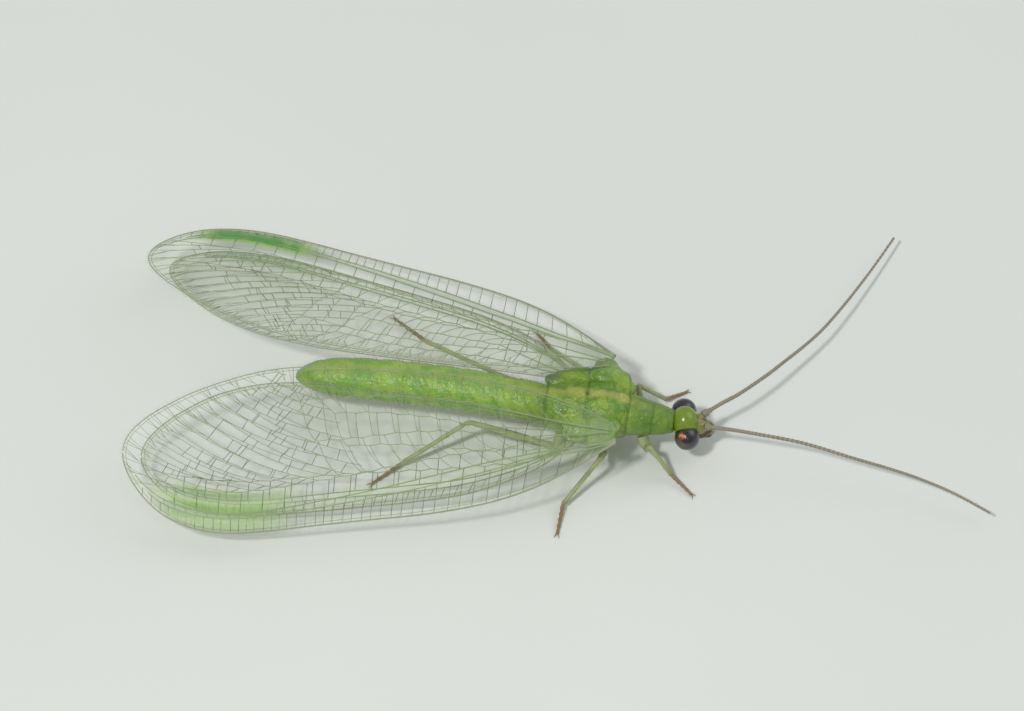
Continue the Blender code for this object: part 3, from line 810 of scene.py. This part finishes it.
# Wings. Four clear membranes far thinner than paper, stiffened by a net of tubular veins and
# hinged at the sides of the thorax. The fore pair roofs the hind pair. A place on a wing is
# (along, across): along it from its base, across it to the front edge.
WING_SWEEP = math.radians(8.1)
# Each pair's side, base, lowering to the tip and roll down to the front edge, and how far its
# hind wing is turned forwards in its own plane.
WINGS = {
    "right": (RIGHT, (0.42, -1.2, 2.11), math.radians(3.0), math.radians(18.7), 0.0),
    "left": (LEFT, (0.03, 1.13, 2.08), math.radians(1.6), math.radians(20.5), math.radians(3.0)),
}
# How high the camber is, where across the wing it is highest, how far from there it has
# gone, and how far along the wing it is full.
CAMBER, CAMBER_MIDDLE, CAMBER_REACH, CAMBER_START = 0.12, 0.2, 2.4, 3
# "lift" is how high the wing lies over its pair's base point. "outline" goes round the wing:
# along the front edge to the tip and back along the hind one.
# "costal", "radius" and "sector" are the widths of the fields between the front edge, the
# subcosta, the radius and the radial sector. "inner" and "outer" are the two false veins, and
# "columns" is how many veins cross them on the way from the sector to the rim. "roots" says
# where the first and the last of these and the last branch of all leave the sector, and
# "ends" where they reach the rim, measured round it. "fan" lines start on the last column.
# "stigma" is where the green spot behind the front edge lies, "hem" how hazy the rim is, a haze
# that is partly painted shadow of the rim.
FORE = {
    "lift": 0.1,
    "outline": (
        (-0.15, 0.3), (0.35, 0.62), (0.95, 0.98), (2.1, 1.55), (3.4, 1.95), (5.0, 2.2),
        (6.6, 2.32), (8.2, 2.44), (9.6, 2.56), (10.7, 2.58), (11.6, 2.42), (12.4, 2.04),
        (12.96, 1.52), (13.36, 0.92), (13.55, 0.35), (13.48, -0.15), (13.15, -0.58),
        (12.5, -1.04), (11.3, -1.6), (9.6, -2.06), (8.0, -2.14), (6.4, -2.03), (4.6, -1.82),
        (3.2, -1.55), (2.0, -1.2), (0.9, -0.76), (0.3, -0.46), (-0.1, -0.2),
    ),
    "costal": (
        (0.0, 0.04), (0.9, 0.4), (2.0, 0.76), (3.4, 0.9), (5.0, 0.78), (6.5, 0.62), (8.0, 0.5),
        (10.0, 0.42), (12.0, 0.36), (13.4, 0.2),
    ),
    "radius": (
        (0.0, 0.05), (2.0, 0.19), (5.0, 0.26), (7.0, 0.2), (10.0, 0.13), (12.0, 0.14), (13.4, 0.1),
    ),
    "sector": (
        (0.0, 0.05), (1.9, 0.06), (3.0, 0.3), (5.0, 0.5), (8.0, 0.58), (11.0, 0.6),
        (12.4, 0.46), (13.4, 0.2),
    ),
    "inner": ((2.6, 0.12), (4.0, -0.1), (5.6, -0.14), (7.0, -0.02), (8.1, 0.05)),
    "outer": ((3.0, -0.75), (4.4, -1.05), (5.8, -1.2), (7.2, -1.24), (8.6, -1.15)),
    "columns": 10,
    "roots": (2.0, 7.5, 12.1),
    "ends": (4.1, 9.5, 15.8),
    "fan": 8,
    "stems": ((0.05, 0.02), (0.05, -0.06)),
    "stigma": (8.2, 12.9),
    "hem": 0.25,
}
HIND = {
    "lift": -0.62,
    "outline": (
        (0.9, -0.12), (1.3, 0.28), (1.75, 0.64), (2.4, 0.98), (3.2, 1.27), (4.3, 1.54),
        (5.8, 1.7), (7.3, 1.8), (8.8, 1.89), (9.9, 1.93), (10.9, 1.84), (11.8, 1.58),
        (12.45, 1.2), (12.92, 0.7), (13.12, 0.2), (13.0, -0.25), (12.62, -0.68), (12.0, -1.12),
        (11.0, -1.6), (9.7, -1.88), (8.2, -1.86), (6.6, -1.62), (5.0, -1.32), (3.4, -0.98),
        (2.0, -0.66), (1.3, -0.46), (0.9, -0.3),
    ),
    "costal": (
        (0.9, 0.03), (2.2, 0.2), (4.0, 0.28), (7.0, 0.32), (9.5, 0.32), (12.2, 0.24), (13.1, 0.1),
    ),
    "radius": ((0.9, 0.03), (3.0, 0.13), (6.0, 0.17), (9.5, 0.12), (13.1, 0.06)),
    "sector": (
        (0.9, 0.03), (2.4, 0.06), (4.0, 0.32), (8.0, 0.52), (11.2, 0.52), (12.5, 0.36), (13.1, 0.1),
    ),
    "inner": ((3.2, 0.3), (4.5, 0.15), (6.0, 0.0), (7.3, 0.02)),
    "outer": ((3.6, -0.45), (5.0, -0.75), (6.5, -0.95), (7.7, -0.95)),
    "columns": 8,
    "roots": (2.6, 6.8, 11.8),
    "ends": (3.3, 7.9, 13.6),
    "fan": 7,
    "stems": ((0.95, -0.17), (0.95, -0.23)),
    "stigma": (8.0, 12.4),
    "hem": 0.75,
}
# Each kind of vein's radius where it starts and where it ends.
VEIN_RADII = {
    "front edge": (0.028, 0.015), "hinge": (0.06, 0.028), "hind edge": (0.013, 0.013),
    "subcosta": (0.021, 0.011), "subcosta root": (0.042, 0.019), "radius": (0.026, 0.012),
    "radius root": (0.05, 0.024), "sector": (0.016, 0.009), "stem": (0.024, 0.011),
    "false vein": (0.013, 0.01), "column": (0.01, 0.0095), "fan": (0.0105, 0.009),
    "fork": (0.0085, 0.008), "twig": (0.0075, 0.0055), "last twig": (0.007, 0.006),
    "branch": (0.0085, 0.006), "branch twig": (0.008, 0.006), "rung": (0.0095, 0.0095),
    "costal rung": (0.009, 0.007), "stigma rung": (0.007, 0.007), "hem": (0.007, 0.007),
}
OUTLINE_POINTS, VEIN_SIDES = 900, 6


def trace_edges(shape):
    """The front and the hind edge as arrays of (along, across), both from the base to the tip."""
    line = np.array(smooth_line(shape["outline"], OUTLINE_POINTS))
    tip = int(line[:, 0].argmax())
    return line[: tip + 1], line[: tip - 1 : -1]


for shape in (FORE, HIND):
    shape["front"], shape["back"] = trace_edges(shape)


def front_edge(shape, along):
    return float(np.interp(along, shape["front"][:, 0], shape["front"][:, 1]))


def hind_edge(shape, along):
    return float(np.interp(along, shape["back"][:, 0], shape["back"][:, 1]))


def subcosta(shape, along):
    return front_edge(shape, along) - smooth_value(shape["costal"], along)


def radius_vein(shape, along):
    return subcosta(shape, along) - smooth_value(shape["radius"], along)


def sector_vein(shape, along):
    return radius_vein(shape, along) - smooth_value(shape["sector"], along)


def wing_frame(side, base, lowering, roll):
    """The base point and the directions along, across and up of a wing."""
    along = Vector((
        -math.cos(lowering) * math.cos(WING_SWEEP),
        side * math.cos(lowering) * math.sin(WING_SWEEP),
        -math.sin(lowering),
    ))
    level = Vector((math.sin(WING_SWEEP), side * math.cos(WING_SWEEP), 0.0))
    upright = along.cross(level)
    if upright.z < 0:
        upright = -upright
    across = level * math.cos(roll) - upright * math.sin(roll)
    up = upright * math.cos(roll) + level * math.sin(roll)
    return Vector(base), along, across, up


def turned(directions, angle):
    """A wing's directions turned forwards in its own plane."""
    base, along, across, up = directions
    ahead = along * math.cos(angle) + across * math.sin(angle)
    return base, ahead, across * math.cos(angle) - along * math.sin(angle), up


def on_wing(directions, shape, along, across, up=0.0):
    """A point in millimetres from the thorax's middle, on a wing's curved surface."""
    base, ahead, sideways, upward = directions
    arch = 1 - ((across - CAMBER_MIDDLE) / CAMBER_REACH) ** 2
    camber = CAMBER * arch * min(1.0, along / CAMBER_START)
    return base + ahead * along + sideways * across + upward * (shape["lift"] + camber + up)


def bend(start, control, end, count):
    """A curve of count points from start to end, drawn towards a control point."""
    made = []
    for i in range(count):
        t = i / (count - 1)
        made.append(tuple(
            (1 - t) ** 2 * a + 2 * t * (1 - t) * b + t * t * c
            for a, b, c in zip(start, control, end)
        ))
    return made


def sweep(start, end, forth, over, count):
    """A curve between two places; forth and over say where its control point is between them."""
    control = start[0] + forth * (end[0] - start[0]), start[1] + over * (end[1] - start[1])
    return bend(start, control, end, count)


def ease(value, low, high):
    """0 below low, 1 above high, and a straight run between."""
    return min(1.0, max(0.0, (value - low) / (high - low)))


def trace(vein, shape, first, last, count=80):
    return [(along, vein(shape, along)) for along in np.linspace(first, last, count)]


def nearest(line, point):
    return min(line, key=lambda other: math.dist(other, point))


def run_along(line):
    """How far along a line each of its points is."""
    steps = np.linalg.norm(np.diff(line, axis=0), axis=1)
    return np.concatenate(((0.0,), np.cumsum(steps)))


def point_at(line, run, distance):
    return tuple(float(np.interp(distance, run, line[:, i])) for i in (0, 1))


def spread(points, shares):
    """Places along a line through points, each at a share of the line's length."""
    line = np.array(smooth_line(points, 200))
    run = run_along(line)
    return [point_at(line, run, share * run[-1]) for share in shares]


def between(start, end, share):
    return tuple(a + (b - a) * share for a, b in zip(start, end))


ZIGZAG = 0.035  # how far the sector's zigzag stands off its middle line
STEP_SHARE = 0.45  # where in a step the false veins are left again
FAN_POINTS, FORK_POINT = 31, 21  # the points of a fan's line, and the one where it forks
# Where on the fan's lines rungs may stand, and the share of them that are there.
RUNG_PLACES = ((8, 1.0), (17, 1.0), (3, 0.5), (12, 0.5), (21, 0.4))
HEM_INSET = 0.085


def vein_net(shape, chance):
    """The long veins and the crossveins as flat lines, each with its radius at both ends."""
    start, tip = shape["front"][0][0], shape["front"][-1][0]
    rim = np.vstack((shape["back"], shape["front"][::-1]))
    run = run_along(rim)
    long_veins, cross = [], []

    def lay(veins, kind, line):
        veins.append((line, *VEIN_RADII[kind]))

    def rim_point(distance):
        return point_at(rim, run, distance)

    def forked_end(leave, distance, room):
        """From a place, a vein that forks before the rim; most of its twigs fork once more."""
        fork = between(leave, rim_point(distance), 0.2 + 0.25 * chance.random())
        lay(long_veins, "fork", [leave, fork])
        for offset in (-0.25, 0.25):
            twig = sweep(fork, rim_point(distance + offset * room), 0.5, 0.35, 9)
            lay(long_veins, "twig", twig)
            if chance.random() < 0.75:
                split = twig[3 + chance.randrange(3)]
                lay(cross, "last twig", [split, rim_point(distance + (offset - 0.22) * room)])

    lay(long_veins, "subcosta", trace(subcosta, shape, start, tip - 0.7))
    lay(long_veins, "radius", trace(radius_vein, shape, start, tip - 0.35))
    lay(long_veins, "subcosta root", trace(subcosta, shape, start, start + 1.2, 12))
    lay(long_veins, "radius root", trace(radius_vein, shape, start, start + 1.4, 12))
    # The sector leaves the radius and zigzags to the tip, with a rung to the radius in each step.
    columns = shape["columns"]
    first_root, column_root, last_root = shape["roots"]
    spacing = (column_root - first_root) / (columns - 1)
    sector_start = first_root - 0.9
    sector, roots = [(sector_start, radius_vein(shape, sector_start))], []
    for along in np.arange(first_root, last_root, spacing):
        zigzag = ZIGZAG * (1 - 0.06 * along)
        roots.append((along, sector_vein(shape, along) - zigzag))
        further = along + 0.5 * spacing
        sector += [roots[-1], (further, sector_vein(shape, further) + zigzag)]
        ahead = further + 0.05
        lay(cross, "rung", [(ahead, radius_vein(shape, ahead)), sector[-1]])
    lay(long_veins, "sector", sector[:-1])
    # The columns join in the two false veins and leave them again a little further out.
    first_end, column_end, last_end = shape["ends"]
    room = (column_end - first_end) / (columns - 1)
    shares = [k / (columns - 1) for k in range(columns)]
    inner, outer = spread(shape["inner"], shares), spread(shape["outer"], shares)
    for crossing in (inner, outer):
        vein = []
        for (x, y), following in zip(crossing, crossing[1:]):
            vein += [(x, y + 0.03), between((x, y - 0.03), following, STEP_SHARE)]
        lay(long_veins, "false vein", vein + [crossing[-1]])
    for k, (root, first, second) in enumerate(zip(roots, inner, outer)):
        leave_first, leave_second = first, second
        if k + 1 < columns:
            leave_first = between(first, inner[k + 1], STEP_SHARE)
            leave_second = between(second, outer[k + 1], STEP_SHARE)
        lay(long_veins, "column", sweep(root, first, 0.6, 0.25, 9))
        control = between(leave_first, (second[0], leave_first[1]), 0.5)
        lay(long_veins, "column", bend(leave_first, control, second, 9))
        forked_end(leave_second, first_end + room * k, room)
    # Beyond the last column the veins run out along the wing, from it and from the sector, to
    # forked ends at the rim; rungs in two rows like stairs, and a few others, join them.
    last_column = (roots[columns - 1], inner[-1], outer[-1], rim_point(column_end))
    shares = [1 - (k + 0.5) / shape["fan"] for k in range(shape["fan"])]
    starts = spread(last_column, shares) + roots[columns:]
    room = (last_end - column_end) / len(starts)
    lines = []
    for k, begin in enumerate(starts):
        distance = column_end + room * (k + 0.7)
        line = sweep(begin, rim_point(distance), 0.5, 0.2, FAN_POINTS)
        lay(long_veins, "fan", line[:FORK_POINT + 1])
        forked_end(line[FORK_POINT], distance, room)
        lines.append(line)
    for line, following in zip(lines, lines[1:]):
        for step, kept in RUNG_PLACES:
            if chance.random() < kept:
                point = line[step + chance.randrange(-1, 2)]
                lay(cross, "rung", [point, nearest(following, (point[0] + 0.06, point[1]))])
    # Two stems run from the wing's base to the false veins, with rungs to each other and to the
    # radius, and forked veins go from the lower stem to the rim.
    upper, lower = (
        sweep(stem, goal, 0.5, 0.35, 12) for stem, goal in zip(shape["stems"], (inner[0], outer[0]))
    )
    lay(long_veins, "stem", upper)
    lay(long_veins, "stem", lower)
    for i in (5, 8, 10):
        lay(cross, "rung", [upper[i], nearest(lower, upper[i])])
        ahead = upper[i][0] + 0.05
        lay(cross, "rung", [upper[i], (ahead, radius_vein(shape, ahead))])
    for i in range(2, 12, 2):
        goal = rim_point(first_end * (0.16 + 0.075 * i))
        control = goal[0] - 0.15, (lower[i][1] + goal[1]) / 2 + 0.05
        branch = bend(lower[i], control, goal, 9)
        lay(long_veins, "branch", branch)
        lay(cross, "branch twig", [branch[4], rim_point(first_end * (0.11 + 0.075 * i))])
    # Crossveins of the field behind the front edge, closer together towards the stigma.
    along = start + 0.5
    while along < tip - 0.5:
        outwards = ease(along - start, 0, 9)
        lean = 0.2 * (1 - outwards) + 0.02
        top = (along + lean, front_edge(shape, along + lean) - 0.02)
        lay(cross, "costal rung", [(along, subcosta(shape, along)), top])
        along += (0.46 - 0.22 * outwards) * chance.uniform(0.85, 1.15)
    for along in np.arange(shape["stigma"][0], tip - 0.9, 0.3):
        ahead = along + 0.03
        lay(cross, "stigma rung", [(along, subcosta(shape, along)), (ahead, radius_vein(shape, ahead))])
    # A fine line follows the rim a little inside it.
    hem = []
    for distance in np.arange(1.2, run[-1] - 0.9, 0.15):
        here, further = (np.array(rim_point(d)) for d in (distance, distance + 0.05))
        across = np.array((-(further - here)[1], (further - here)[0]))
        hem.append(tuple(here + across / np.linalg.norm(across) * HEM_INSET))
    lay(long_veins, "hem", hem)
    return long_veins, cross


def to_space(directions, shape, lines):
    """Turns flat vein lines into tubes (x, y, z, radius) on the wing's surface."""
    tubes = []
    for line, thick, thin in lines:
        last = len(line) - 1
        tubes.append([
            (*on_wing(directions, shape, *point), thick + (thin - thick) * i / last)
            for i, point in enumerate(line)
        ])
    return tubes


FILM_ROWS, FILM_COLUMNS = 150, 44
FILM_THICKNESS = 0.012
# The stigma's green starts and is full this far beyond its near end, and fades this far
# before its far end.
STIGMA_FADE_IN, STIGMA_FADE_OUT = (0.6, 1.7), 0.7


def film_tints(shape, along, across, greenness, density):
    """How much of the stigma's green and of the haze, partly painted shadow, a place on the film has."""
    start, tip = shape["front"][0][0], shape["front"][-1][0]
    front, back = front_edge(shape, along), hind_edge(shape, along)
    radius_line = radius_vein(shape, along)
    # The stigma fills the field behind the front edge and a band behind the radius.
    first, last = shape["stigma"]
    under_front = (front - across) / max(smooth_value(shape["costal"], along), 0.02)
    inside = ease(along, first + STIGMA_FADE_IN[0], first + STIGMA_FADE_IN[1])
    inside *= 1 - ease(along, last - STIGMA_FADE_OUT, last)
    inside *= 1 - ease(radius_line - across + 0.3 * density, 0.2, 0.5)
    behind = 1 - ease(abs(across - radius_line + 0.14), 0.06, 0.24)
    field = 0.8 * (1 - ease(under_front, 0.9, 1.2))
    tint = inside * max(field, behind, 2 * density) * ease(under_front, 0.0, 0.25)
    # Haze lies between subcosta and radius, at the wing's base, along the rim and at the tip. The band
    # between subcosta and radius and the haze along the rim are partly painted shadow of the veins and
    # the rim.
    from_radius = abs(across - (subcosta(shape, along) + radius_line) / 2)
    band = (1 - ease(from_radius, 0.1, 0.3)) * min(greenness, 1.0) * (0.45 + density)
    near_base = (1 - ease(along - start, 0.3, 1.6 + 1.6 * density)) * ease(along - start, -0.1, 0.4)
    at_base = (1.2 + 1.6 * density) * near_base**2
    from_rim = min(front - across, across - back, tip - along)
    hem = shape["hem"] * (1 - ease(from_rim, 0.05, 0.25)) * ease(along - start, 1.0, 3.0)
    far_out = 1.6 * density * ease(along, 12.0, 13.3)
    return tint * greenness, max(band, at_base, 0.15 * density, hem, far_out)


def draw_membrane(name, directions, shape, greenness, density):
    """A grid laid on the wing's outline, thickened into a closed film, with its tints as attributes."""
    deselect()
    bpy.ops.mesh.primitive_grid_add(
        x_subdivisions=FILM_ROWS, y_subdivisions=FILM_COLUMNS, size=2, location=(0, 0, 0)
    )
    film = bpy.context.object
    film.name = name
    start, tip = shape["front"][0][0], shape["front"][-1][0]
    stigma = film.data.attributes.new("stigma", "FLOAT", "POINT")
    haze_and_shadow = film.data.attributes.new("haze_and_shadow", "FLOAT", "POINT")
    for vertex in film.data.vertices:
        u, v = (vertex.co.x + 1) / 2, (vertex.co.y + 1) / 2
        along = start + (tip - start) * math.sin(math.pi / 2 * 0.99 * u)
        front, back = front_edge(shape, along), hind_edge(shape, along)
        across = back + (front - back) * v
        ripple = 0.012 * math.sin(across * 9 + along * 0.7) * ease(along - start, 0, 3)
        vertex.co = place(on_wing(directions, shape, along, across, ripple))
        tints = film_tints(shape, along, across, greenness, density)
        stigma.data[vertex.index].value, haze_and_shadow.data[vertex.index].value = tints
    thickness = film.modifiers.new("film", "SOLIDIFY")
    thickness.thickness = FILM_THICKNESS * MM
    thickness.offset = 0.0
    apply_modifiers(film)
    film.data.shade_smooth()
    return film


# The haze colour is partly the grey-green of the membrane and partly painted shadow.
FILM_GREENS, HAZE_AND_PAINTED_SHADOW = ((0.6, 0.8, 0.36), (0.74, 0.88, 0.46)), (0.32, 0.44, 0.24)
STIGMA_GREENS, STIGMA_DARK = ((0.26, 0.5, 0.12), (0.46, 0.66, 0.22)), (0.13, 0.38, 0.08)
LONG_VEIN_GREENS = (0.2, 0.29, 0.13), (0.38, 0.47, 0.26)
CROSSVEIN_GREENS = (0.085, 0.135, 0.065), (0.22, 0.3, 0.16)
EDGE_TANS = (0.26, 0.27, 0.18), (0.4, 0.44, 0.28)

film_finish = Finish("clear_film", Roughness=0.25, IOR=1.3)
stigma_share = film_finish.attribute("stigma") * (0.55 + film_finish.noise(2.4, 4) * 0.9)
haze_and_shadow_share = film_finish.attribute("haze_and_shadow")
clear = film_finish.mix(haze_and_shadow_share, film_finish.mix(film_finish.noise(0.8), *FILM_GREENS), HAZE_AND_PAINTED_SHADOW)
deepest = film_finish.smooth_step(stigma_share, 1.0, 1.4)
green = film_finish.mix(deepest, film_finish.mix(film_finish.noise(3), *STIGMA_GREENS), STIGMA_DARK)
film_finish.feed("Base Color", film_finish.mix(stigma_share, clear, green))
opacity = 0.003 + haze_and_shadow_share * 0.17 + stigma_share * 0.45 + film_finish.noise(1.5) * 0.005
film_finish.feed("Alpha", opacity)
film_finish.bump(film_finish.noise(9), 0.01, 0.4)


def vein_finish(name, roughness, colours):
    finish = Finish(name, Roughness=roughness)
    finish.feed("Base Color", finish.mix(finish.noise(2.5), *colours))
    return finish


long_finish = vein_finish("pale_vein", 0.45, LONG_VEIN_GREENS)
edge_finish = vein_finish("wing_edge", 0.5, EDGE_TANS)
cross_finish = Finish("dark_vein", Roughness=0.5)
patches = cross_finish.smooth_step(cross_finish.noise(2.2), 0.4, 0.62)
cross_finish.feed("Base Color", cross_finish.mix(patches, *CROSSVEIN_GREENS))
fringe_finish = Finish("fringe_hair", Base_Color=(0.3, 0.31, 0.24, 1), Roughness=0.5)
FRINGE_SPACING, VEIN_HAIR_SPACING = 0.045, 0.17
FRONT_FRINGE, HIND_FRINGE = 0.08, 0.15  # the lengths of its hairs


def fringe_roots(directions, shape, veins, chance):
    """Roots and tips of the hairs that stand out from the rim and up from the veins."""
    roots = []
    for line, sign, length in ((shape["front"], 1, FRONT_FRINGE), (shape["back"], -1, HIND_FRINGE)):
        run = run_along(line)
        for distance in np.arange(0.3, run[-1], FRINGE_SPACING):
            distance += chance.uniform(-0.02, 0.02)
            here, further = (np.array(point_at(line, run, d)) for d in (distance, distance + 0.05))
            ahead = (further - here) / max(np.linalg.norm(further - here), 1e-6)
            outward = np.array((-ahead[1], ahead[0])) * sign + 0.5 * ahead
            end = here + outward * length * chance.uniform(0.6, 1.2)
            rise = length * chance.uniform(-0.3, 0.3)
            root, tip = on_wing(directions, shape, *here), on_wing(directions, shape, *end, rise)
            roots.append((place(root), place(tip)))
    for line, thick, _ in veins:
        for a, b in zip(line, line[1:]):
            length = math.dist(a, b)
            if chance.random() > length / VEIN_HAIR_SPACING:
                continue
            first = chance.random() * VEIN_HAIR_SPACING
            for share in np.arange(first, length, VEIN_HAIR_SPACING) / length:
                along, across = between(a, b, share)
                reach = chance.uniform(0.05, 0.11)
                aside = reach * chance.uniform(-0.8, 0.8)
                root = on_wing(directions, shape, along, across)
                tip = on_wing(directions, shape, along + 0.6 * reach, across + aside, thick + reach)
                roots.append((place(root), place(tip)))
    return roots


# How green each wing's stigma is, and how dense the haze of each side's wings is.
GREENNESS = {
    "forewing_right": 0.9, "hindwing_right": 0.75, "forewing_left": 1.4, "hindwing_left": 0.3,
}
DENSITY = {"right": 0.0, "left": 0.5}
EDGE_STEP = 6  # the edge tubes follow each sixth point of the outline
HINGE_POINTS = 9
for side_name, (*attitude, hind_turn) in WINGS.items():
    for kind, shape, seed, turn in (("forewing", FORE, 3, 0.0), ("hindwing", HIND, 5, hind_turn)):
        node = kind + "_" + side_name
        chance = random.Random(seed)
        directions = turned(wing_frame(*attitude), turn)
        density = DENSITY[side_name]
        film = draw_membrane(node + "_film", directions, shape, GREENNESS[node], density)
        settle(film, film_finish, "wing_membrane", node)
        long_veins, cross = vein_net(shape, chance)
        front, back = (
            [tuple(point) for point in shape[edge][::EDGE_STEP]] for edge in ("front", "back")
        )
        edges = [
            (front[:HINGE_POINTS], *VEIN_RADII["hinge"]), (front, *VEIN_RADII["front edge"]),
            (back, *VEIN_RADII["hind edge"]),
        ]
        for part, lines, finish in (
            ("long_veins", long_veins, long_finish), ("crossveins", cross, cross_finish),
            ("edge", edges, edge_finish),
        ):
            tubes = draw_tubes(node + "_" + part, to_space(directions, shape, lines), VEIN_SIDES)
            settle(tubes, finish, "wing_membrane")
        roots = fringe_roots(directions, shape, long_veins + cross + edges, chance)
        fringe = draw_bristles(node + "_fringe", roots, thickness=0.005)
        settle(fringe, fringe_finish, "wing_membrane")

# Body hair. Short pale bristles of skin stand all over the thorax and abdomen and lean
# backwards, and finer ones stand on the head. Each is a thin three-sided spike, its root
# sunk in the skin.
roots = hairs_on(trunk, spacing_area=0.02, length=0.16, lean=(-0.9, 0, 0.1))
settle(draw_bristles("body_hair", roots, thickness=0.009), hair_finish, "body_skin")
roots = hairs_on(head, spacing_area=0.03, length=0.08, lean=(0.5, 0, 0.2))
settle(draw_bristles("head_hair", roots, thickness=0.008), hair_finish, "head_shell")
